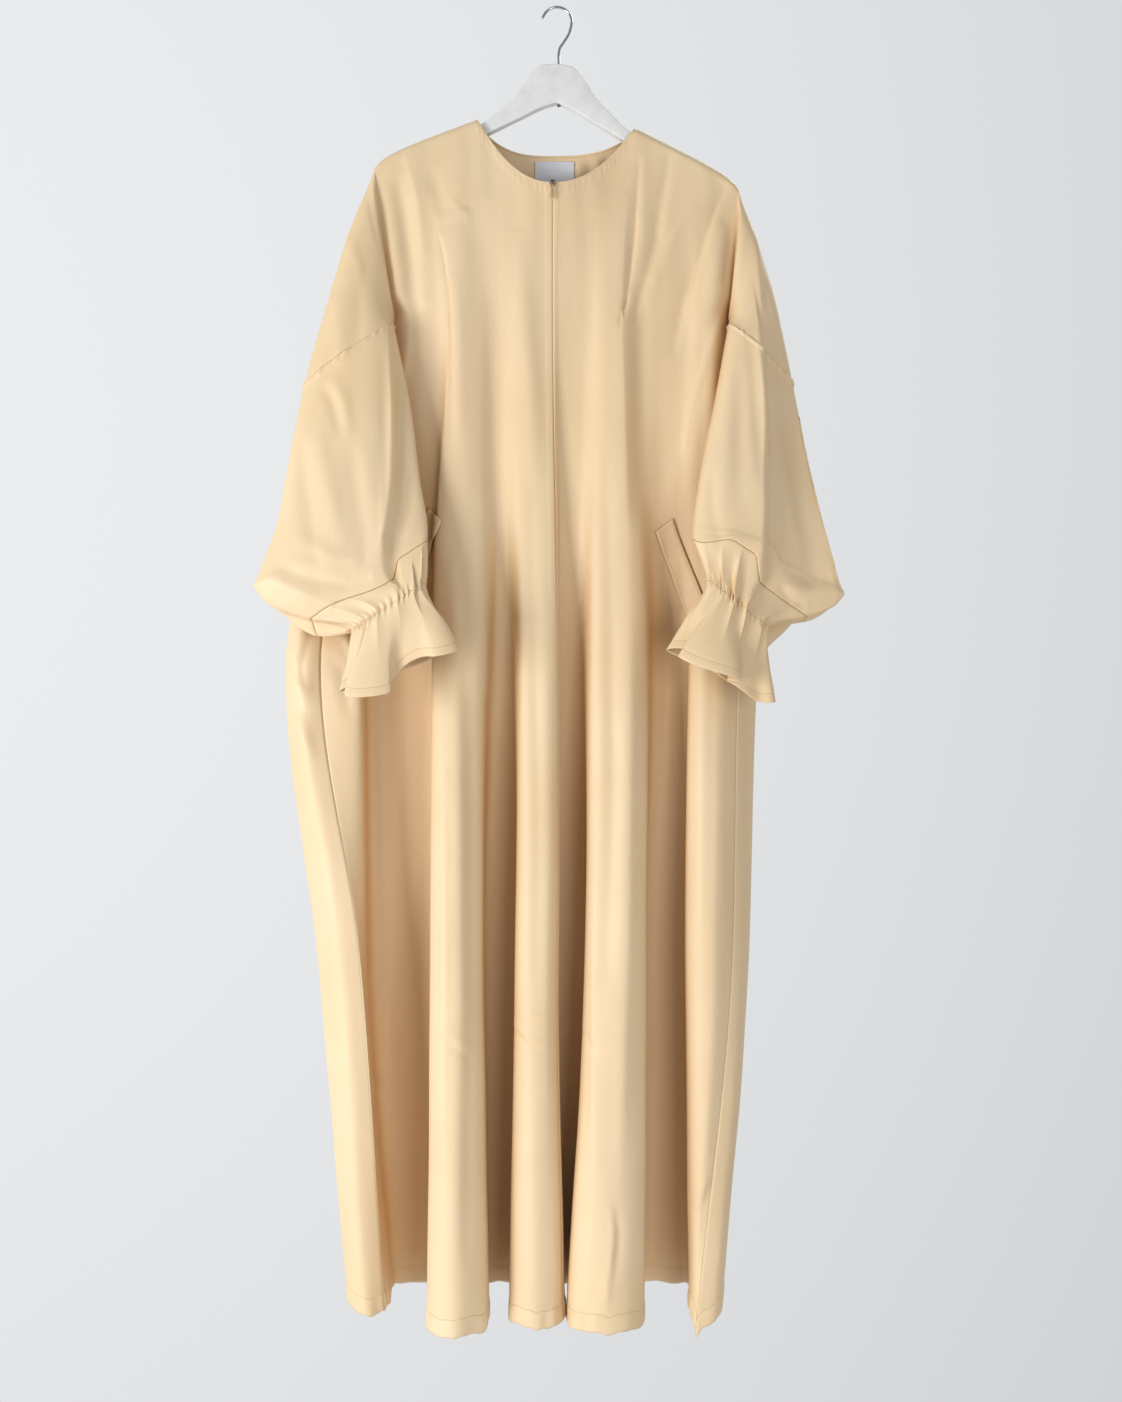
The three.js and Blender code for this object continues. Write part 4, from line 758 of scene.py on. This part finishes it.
def painted_wood():
    """Sprayed white lacquer on beech: an even half gloss over a hint of grain along the arms."""
    made, tree, shader = new_material("white_lacquered_beech", Coat_Weight=0.15, Coat_Roughness=0.3)
    place = add(tree, "TexCoord").outputs["Object"]
    grain = add(tree, "Mapping", {"Vector": place, "Scale": (14, 60, 180)}).outputs[0]
    fibre = add(tree, "TexNoise", {"Vector": grain, "Scale": 1.0, "Detail": 4.0}).outputs["Fac"]
    wear = add(tree, "TexNoise", {"Vector": place, "Scale": 60.0, "Detail": 3.0}).outputs["Fac"]
    tone = add(tree, "ValToRGB", {"Fac": wear})
    tone.color_ramp.elements[0].position, tone.color_ramp.elements[1].position = 0.32, 0.6
    tone.color_ramp.elements[0].color = linear("#E3E4E1")
    tone.color_ramp.elements[1].color = linear("#EBECEA")
    gloss = add(tree, "MapRange", {"Value": fibre, "To Min": 0.36, "To Max": 0.5}).outputs[0]
    bump = add(tree, "Bump", {"Height": fibre, "Strength": 0.15, "Distance": 0.0004}).outputs[0]
    finish_with(tree, shader, tone.outputs[0], gloss, bump)
    return made


def drawn_metal(name, dark, light, low, high, line):
    """Bare or plated metal: tone and gloss broken up by fine rub marks, line of them to a metre."""
    made, tree, shader = new_material(name, Metallic=1.0)
    place = add(tree, "TexCoord").outputs["Object"]
    rub = add(tree, "Mapping", {"Vector": place, "Scale": (line, line, line / 8)}).outputs[0]
    marks = add(tree, "TexNoise", {"Vector": rub, "Scale": 1.0, "Detail": 5.0}).outputs["Fac"]
    tone = add(tree, "ValToRGB", {"Fac": marks})
    tone.color_ramp.elements[0].position, tone.color_ramp.elements[1].position = 0.3, 0.7
    tone.color_ramp.elements[0].color = linear(dark)
    tone.color_ramp.elements[1].color = linear(light)
    gloss = add(tree, "MapRange", {"Value": marks, "To Min": low, "To Max": high}).outputs[0]
    bump = add(tree, "Bump", {"Height": marks, "Strength": 0.1, "Distance": 0.0001}).outputs[0]
    finish_with(tree, shader, tone.outputs[0], gloss, bump)
    return made


LABEL_CUT = (0.048, 0.042)
LABEL_BORDER = (0.00125, 0.00035)  # from the label's edge to the border's middle, and half its width


def label_weave():
    """Damask label ribbon, silver white: fine ribs across it, and a narrow woven border."""
    made, tree, shader = new_material("woven_label", Sheen_Weight=0.2)
    cut = add(tree, "UVMap", uv_map="cut").outputs[0]
    ribs = add(tree, "TexWave", {"Vector": cut, "Scale": 500.0}, bands_direction="Y").outputs["Fac"]
    fine = add(tree, "TexNoise", {"Vector": cut, "Scale": 900.0}).outputs["Fac"]
    tone = add(tree, "ValToRGB", {"Fac": fine})
    tone.color_ramp.elements[0].color = linear("#CFD1D8")
    tone.color_ramp.elements[1].color = linear("#E6E7EB")
    # the border is 0.7 mm wide and 0.9 mm inside the edge
    cut_xy = add(tree, "SeparateXYZ", {0: cut})
    inside = [add(tree, "Math", {0: cut_xy.outputs[i], 1: size / 2}, operation="SUBTRACT").outputs[0]
              for i, size in enumerate(LABEL_CUT)]
    inside = [add(tree, "Math", {0: way}, operation="ABSOLUTE").outputs[0] for way in inside]
    inside = [add(tree, "Math", {0: size / 2, 1: way}, operation="SUBTRACT").outputs[0]
              for way, size in zip(inside, LABEL_CUT)]
    to_edge = add(tree, "Math", {0: inside[0], 1: inside[1]}, operation="MINIMUM").outputs[0]
    border = add(tree, "Math", {0: to_edge, 1: LABEL_BORDER[0], 2: LABEL_BORDER[1]},
        operation="COMPARE").outputs[0]
    bordered = add(tree, "Mix", {0: border, 6: tone.outputs[0], 7: linear("#9FA3AF")},
        data_type="RGBA").outputs[2]
    gloss = add(tree, "MapRange", {"Value": ribs, "To Min": 0.4, "To Max": 0.55}).outputs[0]
    bump = add(tree, "Bump", {"Height": ribs, "Strength": 0.3, "Distance": 0.0002}).outputs[0]
    finish_with(tree, shader, bordered, gloss, bump)
    return made


SATIN = satin()
WOOD = painted_wood()
CHROME = drawn_metal("chromed_wire", "#A9ABAE", "#D5D7D9", 0.08, 0.2, 900)
ZIP_METAL = drawn_metal("plated_zinc", "#D6BC8C", "#F4E2BC", 0.35, 0.5, 1600)
DARK_STEEL = drawn_metal("blackened_steel", "#5A554E", "#8A847A", 0.3, 0.45, 1200)
LABEL_WEAVE = label_weave()


def dress(obj, material, body="garment", nodes=()):
    """Gives a piece its material, slot, body and the solid nodes it stands for."""
    obj.data.materials.clear()
    obj.data.materials.append(material)
    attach(obj, body)
    if nodes:
        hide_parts(*nodes)
    return obj


# ---- Fronts and back ----
LINE_STEPS = dict(front=16, back=8)  # columns between two lines
CAP_STEPS = 26
UPPER_ROWS = np.concatenate([[0, 0.35, 1, 1.5], np.linspace(2, ARMPIT_ROW, 60)])


def lower_rows():
    """Rows from the armpit down, closer at the pressed marks and at the hem."""
    bands = [(ARMPIT, -1186, 7.6), (-1186, -1252, 3.3), (-1252, -1516, 7), (-1516, HEM, 2.2)]
    spans = [np.linspace(a, b, round((a - b) / step), endpoint=False) for a, b, step in bands]
    heights = np.concatenate(spans)
    return ARMPIT_ROW + (ROWS - ARMPIT_ROW) * (ARMPIT - np.append(heights, HEM)) / (ARMPIT - HEM)


ROW_LIST = np.concatenate([UPPER_ROWS, lower_rows()[1:]])
UPPER = len(UPPER_ROWS)


def sheet_grid(sheet, start, end):
    """Draped points of a sheet between two places: its columns there, and a row for each place in
    ROW_LIST."""
    places = np.linspace(start, end, round((end - start) * LINE_STEPS[sheet]) + 1)
    u, v = np.meshgrid(places, ROW_LIST)
    z = row_height(sheet, u, v)
    return draped(sheet, u, z)


def cap_grid(side, edge, far):
    """Points of a dropped shoulder's front or back half, from the sheet's edge out to the armhole: straight
    from the edge to the sleeve's root, then on the sleeve's surface."""
    v = UPPER_ROWS / (2 * ARMPIT_ROW)
    a = 1 - v if far else v
    s = np.concatenate([np.linspace(-1, 0, 7)[1:-1],
        ARMHOLE * (1 - (1 - np.linspace(0, 1, CAP_STEPS)) ** 1.35)])
    grid_a, grid_s = np.meshgrid(a, s, indexing="ij")
    points = sleeve_cloth(side, np.maximum(grid_s, 0), grid_a)
    near = np.clip(-grid_s, 0, 1)[..., None]
    root = sleeve_cloth(side, np.zeros_like(grid_a), grid_a)
    across = root + (edge[:, None] - root) * near
    return np.where(near > 0, across, points)


def hem_stitches(points, turn):
    """Stitch map of a grid that ends at a hem: distance along it, and distance from the stitch line."""
    down_it = lengths_over(points, 0)
    from_hem = down_it[-1:] - down_it
    return np.stack([np.broadcast_to(lengths_over(points[-1:], 1), from_hem.shape), from_hem - turn * MM], -1)


def body_piece(name, sheet, start, end, sides):
    """A front or the back: its part of the sheet, and its half of each dropped shoulder beside it."""
    points = sheet_grid(sheet, start, end)
    rows, columns = points.shape[:2]
    index = np.arange(rows * columns).reshape(rows, columns)
    patches = [plain_patch(points, sheet == "back", index, hem_stitches(points, HEM_TURN))]
    count = rows * columns
    for side in sides:
        column = 0 if side == "right" else columns - 1
        edge = points[:UPPER, column]
        cap = cap_grid(side, edge, sheet == "back")
        own = count + np.arange(cap.shape[0] * cap.shape[1]).reshape(cap.shape[:2])
        count += own.size
        cap_index = np.concatenate([index[:UPPER, column : column + 1], own], 1)
        cap_points = np.concatenate([edge[:, None], cap], 1)
        flip = (side == "right") != (sheet == "back")
        patches.append(plain_patch(cap_points, flip, cap_index))
    piece = walled(mesh_of(name, patches), CLOTH_WALL)
    return dress(piece, SATIN, nodes=[name.replace("cloth_", "")])


def tube_piece(name, side, start, end, columns, rows, stitched=False):
    """A tube of a sleeve between two sections, closed round on itself."""
    at = np.linspace(0, 1, rows + 1)
    if start == ARMHOLE:
        at = at - 0.8 * at * (1 - at) ** 4
    s, a = np.meshgrid(start + (end - start) * at, np.linspace(0, 1, columns + 1), indexing="ij")
    points = sleeve_cloth(side, s, a)
    index = np.arange((rows + 1) * columns).reshape(rows + 1, columns)
    index = np.concatenate([index, index[:, :1]], 1)
    stitch = hem_stitches(points, FRILL_TURN) if stitched else None
    piece = mesh_of(name, [plain_patch(points, side == "left", index, stitch)])
    walled(piece, CLOTH_WALL - 0.3 if start >= CUFF else CLOTH_WALL)
    return dress(piece, SATIN, nodes=[name.replace("cloth_", "")])


# ---- Small cloth pieces ----
def place_of(sheet, x, z, low, high):
    """Place u on a sheet's plain surface of each x and z, by halving, where x rises with u."""
    low, high = np.full(x.shape, float(low)), np.full(x.shape, float(high))
    for _ in range(24):
        middle = (low + high) / 2
        before = sheet_points(sheet, middle, z)[..., 0] < x
        low, high = np.where(before, middle, low), np.where(before, high, middle)
    return (low + high) / 2


Slant = namedtuple("Slant", "corner long short start end")
WELTS = dict(
    left=Slant((116, -630), (47, -124), (22, 16), 16, 20.8),
    right=Slant((-152, -601), (-50, -124), (16, -19), 0.3, 5),
)
LABEL = Slant((-27, -179), (0, -42), (48, 0), 7, 15)


def laid_grid(sheet, slant, rows, columns, lift):
    """Grid of a slanted patch: corner + p * long + q * short in x and z, on the sheet's cloth, lift off
    it."""
    p, q = np.meshgrid(np.linspace(0, 1, rows + 1), np.linspace(0, 1, columns + 1), indexing="ij")
    x = slant.corner[0] + p * slant.long[0] + q * slant.short[0]
    z = slant.corner[1] + p * slant.long[1] + q * slant.short[1]
    u = place_of(sheet, x, z, slant.start, slant.end)
    return draped(sheet, u, z, lift(p, q) if callable(lift) else np.full(p.shape, float(lift))), p, q


def welt_piece(side):
    """A slanted pocket welt: folded cloth that lies on the front, rounded at its edges, its top mouth
    open."""
    slant = WELTS[side]

    def lift(p, q):
        edge = np.minimum(np.minimum(p, 1 - p) * 133, np.minimum(q, 1 - q) * 27)
        return 1.4 + 1.2 * np.sqrt(np.clip(edge / 2.2, 0, 1)) + 0.25 * np.sin(17 * p + 2 * q)

    points, p, q = laid_grid("front", slant, 90, 22, lift)
    from_edge = np.minimum(np.minimum(p, 1 - p) * 133, np.minimum(q, 1 - q) * 27) * MM
    stitch = np.stack([p * 0.133 + q * 0.027, from_edge - 0.004], -1)
    piece = mesh_of(f"pocket_welt_{side}_cloth", [plain_patch(points, side == "right", None, stitch)])
    return dress(walled(piece, 1.3), SATIN, nodes=[f"pocket_welt_{side}"])


def label_piece():
    """The bare woven label inside the back neck, its free lower edge a little off the cloth."""
    points, _, _ = laid_grid("back", LABEL, 30, 34, lambda p, q: -2.3 - 0.5 * p * np.sin(np.pi * q))
    piece = mesh_of("neck_label_weave", [plain_patch(points)])
    return dress(walled(piece, 0.4), LABEL_WEAVE, nodes=["neck_label"])


def tape_piece():
    """The zip's woven tape, behind the wearer's right of the centre-front edges."""
    u, v = np.meshgrid(CENTRE + np.linspace(-0.45, -0.04, 8), np.linspace(0.6, 11, 150))
    points = draped("front", u, row_height("front", u, v), -2.3)
    piece = mesh_of("zip_tape_weave", [plain_patch(points)])
    return dress(walled(piece, 0.5), SATIN, nodes=["zip_tape"])


def swept(name, path, reference, across, along, sides, material, nodes=(), body="garment"):
    """A closed bar along a path: an oval section in the frame of the path's tangent and a reference, drawn
    in at both ends as a quarter ellipse."""
    path = np.asarray(path, float)
    tangent = unit(np.gradient(path, axis=0))
    first = unit(reference - (reference * tangent).sum(-1, keepdims=True) * tangent)
    second = np.cross(tangent, first)
    from_end = np.minimum(lengths_over(path[:, None], 0)[:, 0],
        lengths_over(path[::-1][:, None], 0)[::-1, 0]) / MM
    taper = np.sqrt(1 - (1 - np.clip(from_end / min(across, along), 0, 1)) ** 2)
    taper[[0, -1]] = 0
    turn = np.linspace(0, 2 * np.pi, sides + 1)[None, :, None]
    ring = across * np.cos(turn) * first[:, None] + along * np.sin(turn) * second[:, None]
    points = path[:, None] + ring * taper[:, None, None]
    index = np.arange(len(path) * sides).reshape(len(path), sides)
    index = np.concatenate([index, index[:, :1]], 1)
    piece = mesh_of(name, [plain_patch(points, True, index)], weld=True)
    return dress(piece, material, body, nodes)


def denser_ends(path, reach, steps=5):
    """The path with steps extra points within reach of each end, so that its ends round off."""
    length = lengths_over(path[:, None], 0)[:, 0] / MM
    extra = reach * np.sin(np.linspace(0, np.pi / 2, steps + 2)[1:-1]) ** 2
    places = np.unique(np.concatenate([length, extra, length[-1] - extra]))
    return np.stack([np.interp(places, length, path[:, i]) for i in range(3)], -1)


def neck_path():
    """The neck edge from the zip round the wearer's right, the back and the left, back to the zip, evenly
    spaced: the sheets' top edges, moved towards the neck's middle by the binding's own size."""
    q = np.linspace(0, 1, 260)
    quarter = []
    for sheet, end, reverse in (("front", "left", False), ("back", "left", True), ("back", "right", False),
        ("front", "right", True)):
        gap = 2.4 / abs(NECK[end] - NECK["low"]) if sheet == "front" else 0
        share = gap + (1 - gap) * np.sin(q * np.pi / 2)
        x = NECK["low"] + (NECK[end] - NECK["low"]) * share
        z = top_edge(x, sheet)
        drop = np.clip((ridge(x) - z) / RIDGE["round"], 0, 1)
        points = np.stack([x, yoke_depth(x, sheet) * np.sqrt(1 - (1 - drop) ** 2), z], -1)
        quarter.append(points[::-1] if reverse else points)
    edge = np.concatenate(quarter)
    steps = np.linalg.norm(np.diff(edge, axis=0), axis=1)
    length = np.concatenate([[0], np.cumsum(steps)])
    places = np.linspace(0, length[-1], 420)
    edge = np.stack([np.interp(places, length, edge[:, i]) for i in range(3)], -1)
    tangent = unit(np.gradient(edge, axis=0))
    away = np.array([-2.0, 0, -118]) - edge
    away = unit(away - (away * tangent).sum(-1, keepdims=True) * tangent)
    normal = np.cross(away, tangent)
    return edge + away * 1.0 - normal * 0.6, away


def zip_coil():
    """The zip's moulded coil: a helix of fine thread about the centre-front line, just behind the cloth."""
    turns = 150
    v = np.linspace(1.2, 10.8, turns * 8 + 1)
    u = np.full_like(v, CENTRE - 0.02)
    line = draped("front", u[None], row_height("front", u[None], v[None]), -3.4)[0]
    turn = 2 * np.pi * turns * np.linspace(0, 1, len(v))
    path = line + np.stack([1.5 * np.cos(turn), 0.7 * np.sin(turn), np.zeros_like(turn)], -1)
    return swept("zip_coil", path, np.array([0.0, 0, 1]), 0.32, 0.32, 5, SATIN)


# ---- Zip slider and pull ----
SLIDER = dict(x=-5, pivot_y=-25.7, pivot_z=-216.4)


def rounded_slab(centre, half, edge, rings=6, corner=6):
    """A block with rounded edges: for angle and height, a rounded rectangle drawn in near its two faces."""
    corners = np.linspace(0, np.pi / 2, corner)
    turns = np.concatenate([corners + i * np.pi / 2 for i in range(4)])
    signs = np.repeat([[1, 1], [-1, 1], [-1, -1], [1, -1]], corner, 0)
    roll = np.concatenate([np.linspace(-np.pi / 2, 0, rings), np.linspace(0, np.pi / 2, rings)])
    lift = np.where(np.arange(2 * rings) < rings, -1, 1) * (half[1] - edge) + edge * np.sin(roll)
    rows = []
    for rise, angle in zip(lift, roll):
        reach = edge * np.cos(angle)
        x = signs[:, 0] * (half[0] - edge) + reach * np.cos(turns)
        z = signs[:, 1] * (half[2] - edge) + reach * np.sin(turns)
        rows.append(np.stack([x, np.full_like(x, rise), z], -1))
    middle = np.array([[[0, lift[0], 0]]]), np.array([[[0, lift[-1], 0]]])
    ring = np.array(rows)
    full = np.concatenate([np.broadcast_to(middle[0], (1, ring.shape[1], 3)), ring,
        np.broadcast_to(middle[1], (1, ring.shape[1], 3))])
    full = np.concatenate([full, full[:, :1]], 1) + np.asarray(centre, float)
    index = np.arange(full.shape[0] * (full.shape[1] - 1)).reshape(full.shape[0], -1)
    return plain_patch(full, False, np.concatenate([index, index[:, :1]], 1))


def joined(patches):
    """The patches with their vertex numbers moved on, so that they make one mesh."""
    out, count = [], 0
    for patch in patches:
        out.append(patch._replace(index=patch.index + count))
        count += patch.index.max() + 1
    return out


def slider_piece():
    """The slider: its front plate, the bridge above it and the crown that the pull hangs in."""
    x, y, z = SLIDER["x"], SLIDER["pivot_y"], SLIDER["pivot_z"]
    plate = rounded_slab((x, y + 2.15, z - 0.6), (2.4, 0.65, 3.8), 0.5)
    bridge = rounded_slab((x, y + 5.2, z + 2.3), (1.9, 3.7, 0.9), 0.4)
    turn = np.linspace(0, 2 * np.pi, 41)[:, None]
    across = np.linspace(0, 2 * np.pi, 13)[None, :]
    reach = 1.58 + 0.42 * np.cos(across)
    crown = np.stack([x + 0.7 * np.sin(across) + 0 * turn, y + reach * np.cos(turn),
        z + reach * np.sin(turn)], -1)
    rows, columns = 40, 12
    index = np.arange(rows * columns).reshape(rows, columns)
    index = np.concatenate([index, index[:1]], 0)
    index = np.concatenate([index, index[:, :1]], 1)
    piece = mesh_of("zip_slider_metal", joined([plate, bridge, plain_patch(crown, True, index)]), weld=True)
    return dress(piece, DARK_STEEL, nodes=["zip_slider"])


def pull_piece():
    """The pull: a teardrop plate with a round hole, as a ring of rounded sections between hole and
    outline."""
    turn = np.linspace(0, 2 * np.pi, 97)[:, None]
    down_it = (1 - np.cos(turn)) / 2  # 0 at the top of the plate, 1 at its tip
    width = down(-down_it, [0, -0.12, -0.3, -0.5, -0.8, -0.93, -1], [1.3, 2.1, 1.25, 1.3, 2.0, 1.6, 0.8])
    outline = np.stack([np.sign(np.sin(turn)) * width * np.abs(np.sin(turn)) ** 0.4, 0.6 - 22.1 * down_it],
        -1)
    hole = np.stack([1.1 * np.sin(turn), -1.65 + 1.05 * np.cos(turn)], -1)
    section = np.linspace(0, 2 * np.pi, 17)[None, :]
    share = 0.5 - 0.5 * np.sign(np.cos(section)) * np.abs(np.cos(section)) ** 0.35
    depth = 0.5 * np.sign(np.sin(section)) * np.abs(np.sin(section)) ** 0.45
    flat = hole + (outline - hole) * share[..., None]
    points = np.stack([flat[..., 0], depth + 0 * turn, flat[..., 1]], -1)
    points = points + np.array([SLIDER["x"], SLIDER["pivot_y"], SLIDER["pivot_z"]])
    index = np.arange(96 * 16).reshape(96, 16)
    index = np.concatenate([index, index[:1]], 0)
    index = np.concatenate([index, index[:, :1]], 1)
    piece = mesh_of("zip_pull_metal", [plain_patch(points, True, index)])
    return dress(piece, ZIP_METAL, "zip_pull", ["zip_pull"])


# ---- Hanger ----
TOP_EDGE = [(0, -67.8), (16.8, -70.2), (28.8, -79.2), (38.4, -93), (49.2, -108.6), (62.4, -121.5),
    (84, -141.5),
            (97, -148.5), (120, -156.5), (140, -162.9), (180, -181), (198, -191), (205, -197), (209, -208)]
BOTTOM_EDGE = [(0, -114.6), (18, -121.5), (40, -133.5), (100, -166), (160, -195.5), (200, -216),
    (206, -214.5), (209, -208)]
BOARD_THICK, BOARD_EDGE = 12.5, 2.2


def board_piece():
    """The hanger's board: upright slices from tip to tip, each a rounded rectangle between the top and bottom
    edges at that distance from the middle, sheared by the tilt."""
    t = np.linspace(-1, 1, 301)[:, None]
    x = 209 * np.sign(t) * (1 - (1 - np.abs(t)) ** 1.25)
    top = down(-np.abs(x), [-p[0] for p in TOP_EDGE], [p[1] for p in TOP_EDGE])
    low = down(-np.abs(x), [-p[0] for p in BOTTOM_EDGE], [p[1] for p in BOTTOM_EDGE])
    half = np.maximum((top - low) / 2, 1e-3)
    edge = np.minimum(BOARD_EDGE, half)
    corner = np.linspace(0, np.pi / 2, 7)
    turn = np.concatenate([corner + i * np.pi / 2 for i in range(4)])[None, :]
    sign_y = np.repeat([1, -1, -1, 1], 7)[None, :]
    sign_z = np.repeat([1, 1, -1, -1], 7)[None, :]
    thick = np.minimum(BOARD_THICK / 2, half + 4)
    y = sign_y * (thick - edge) + edge * np.cos(turn)
    z = (top + low) / 2 + sign_z * (half - edge) + edge * np.sin(turn)
    points = np.stack([x + 0 * turn, y, z - x * math.sin(TILT)], -1)
    points = np.concatenate([points[:1] * [1, 0, 1] + 0 * points[:1], points, points[-1:] * [1, 0, 1]])
    count = points.shape[1]
    index = np.arange(points.shape[0] * count).reshape(-1, count)
    closed = np.concatenate([points, points[:, :1]], 1)
    piece = mesh_of("hanger_board", [plain_patch(closed, True, np.concatenate([index, index[:, :1]], 1))],
        weld=True)
    return dress(piece, WOOD, nodes=["hanger_body"])


HOOK = dict(wire=3.2, radius=17.5, stem=2, end=-86)


def hook_piece():
    """The wire hook: an arc of its radius over the rail, an easy bend and the stem down into the board."""
    centre = -(HOOK["radius"] - HOOK["wire"] / 2)
    turn = np.radians(np.linspace(155, -5, 13))
    arc = np.stack([HOOK["radius"] * np.cos(turn), centre + HOOK["radius"] * np.sin(turn)], -1)
    stem = [(HOOK["stem"], -54), (HOOK["stem"], -64), (HOOK["stem"], HOOK["end"])]
    flat = np.concatenate([[(-18.6, -12.4)], arc, [(14.3, -30), (8, -40.5), (3.4, -47.6)], stem])
    path = through(np.stack([flat[:, 0], np.zeros(len(flat)), flat[:, 1]], -1), 10)
    path = denser_ends(path, HOOK["wire"] / 2)
    radius = HOOK["wire"] / 2
    return swept("hanger_hook_wire", path, np.array([0.0, 1, 0]), radius, radius, 20, CHROME,
        ["hanger_hook"])


def nut_piece():
    """The small end of the hook's thread with its nut, under the peak of the board."""
    path = np.stack([np.full(9, HOOK["stem"] * 1.0), np.zeros(9), np.linspace(-113.6, -118.4, 9)], -1)
    return swept("hook_nut", denser_ends(path, 2.6), np.array([0.0, 1, 0]), 2.6, 2.6, 6, DARK_STEEL)


# ---- Stage ----
def floor():
    """A pale round floor below the hem."""
    turn, reach = np.meshgrid(np.linspace(0, 2 * np.pi, 97), np.linspace(0, 620, 5))
    points = np.stack([reach * np.cos(turn), reach * np.sin(turn) - 300, np.full_like(turn, -1900)], -1)
    index = np.arange(5 * 96).reshape(5, 96)
    made, tree, shader = new_material("pale_floor", Roughness=0.8)
    shader.inputs["Base Color"].default_value = linear("#E4E3E1")
    disc = mesh_of("floor", [plain_patch(points, True, np.concatenate([index, index[:, :1]], 1))])
    disc.data.materials.append(made)


def camera_and_light():
    """The camera level with the garment's middle, and soft light from the upper left and front."""
    scene = bpy.context.scene
    lens = bpy.data.cameras.new("camera")
    lens.lens = 39.587
    lens.sensor_width = 36
    lens.dof.use_dof = False
    camera = bpy.data.objects.new("camera", lens)
    camera.location = (0.0048, -1.85, -0.831)
    camera.rotation_euler = (math.pi / 2, 0, 0)
    scene.collection.objects.link(camera)
    scene.camera = camera
    world = bpy.data.worlds.new("pale_room")
    world.use_nodes = True
    sky = world.node_tree
    way = add(sky, "TexCoord").outputs["Generated"]
    facing = add(sky, "VectorMath", {0: way, 1: ROOM["bright_side"]},
        operation="DOT_PRODUCT").outputs["Value"]
    strength = add(sky, "MapRange", {"Value": facing, "From Min": -0.3, "From Max": 1.0,
                                     "To Min": ROOM["dark"], "To Max": ROOM["bright"]}).outputs[0]
    sky.nodes["Background"].inputs["Color"].default_value = linear("#FBFDFF")
    sky.links.new(strength, sky.nodes["Background"].inputs["Strength"])
    scene.world = world
    scene.view_settings.view_transform = "Standard"
    for name, place, aim, size, power in LIGHTS:
        light = bpy.data.lights.new(name, "AREA")
        light.shape = "RECTANGLE"
        light.size, light.size_y = size
        light.energy = power
        lamp = bpy.data.objects.new(name, light)
        lamp.location = place
        away = np.array(place) - np.array(aim)
        lamp.rotation_euler = (math.atan2(math.hypot(away[0], away[1]), away[2]), 0,
            math.atan2(away[0], -away[1]))
        scene.collection.objects.link(lamp)


# The pale room: brightest behind and to the left, darker in front and to the right.
ROOM = dict(bright_side=(-0.55, 0.85, 0.15), bright=0.86, dark=0.34)
# Each light: its name, place, what it faces, its size and its power.
LIGHTS = [
    ("window", (-2.25, -1.65, -1.1), (0, 0, -0.95), (1.1, 1.5), 57),
    ("fill", (1.1, -2.8, -1.2), (0, 0, -1.05), (1.2, 1.6), 25),
    ("behind", (1.9, 2.1, 1.9), (0, 0, -0.8), (1.6, 1.6), 55),
]


# ---- Assembly ----
camera_and_light()
floor()

fronts = {
    "right": body_piece("cloth_front_right", "front", 0, CENTRE, ["right"]),
    "left": body_piece("cloth_front_left", "front", CENTRE, STATIONS, ["left"]),
}
back = body_piece("cloth_back", "back", 0, STATIONS, ["right", "left"])
for side in ("right", "left"):
    tube_piece(f"cloth_sleeve_{side}", side, ARMHOLE, CUFF, 210, 104)
    tube_piece(f"cloth_cuff_{side}", side, CUFF, ELASTIC, 380, 28)
    tube_piece(f"cloth_frill_{side}", side, ELASTIC, FRILL_HEM, 380, 38, stitched=True)
welts = {side: welt_piece(side) for side in ("right", "left")}
label = label_piece()
tape = tape_piece()
path, away = neck_path()
binding = swept("neck_binding_cloth", path, away, 1.5, 1.15, 12, SATIN, ["neck_binding"])
coil = zip_coil()
slider_piece()
pull_piece()
board_piece()
hook_piece()
nut_piece()
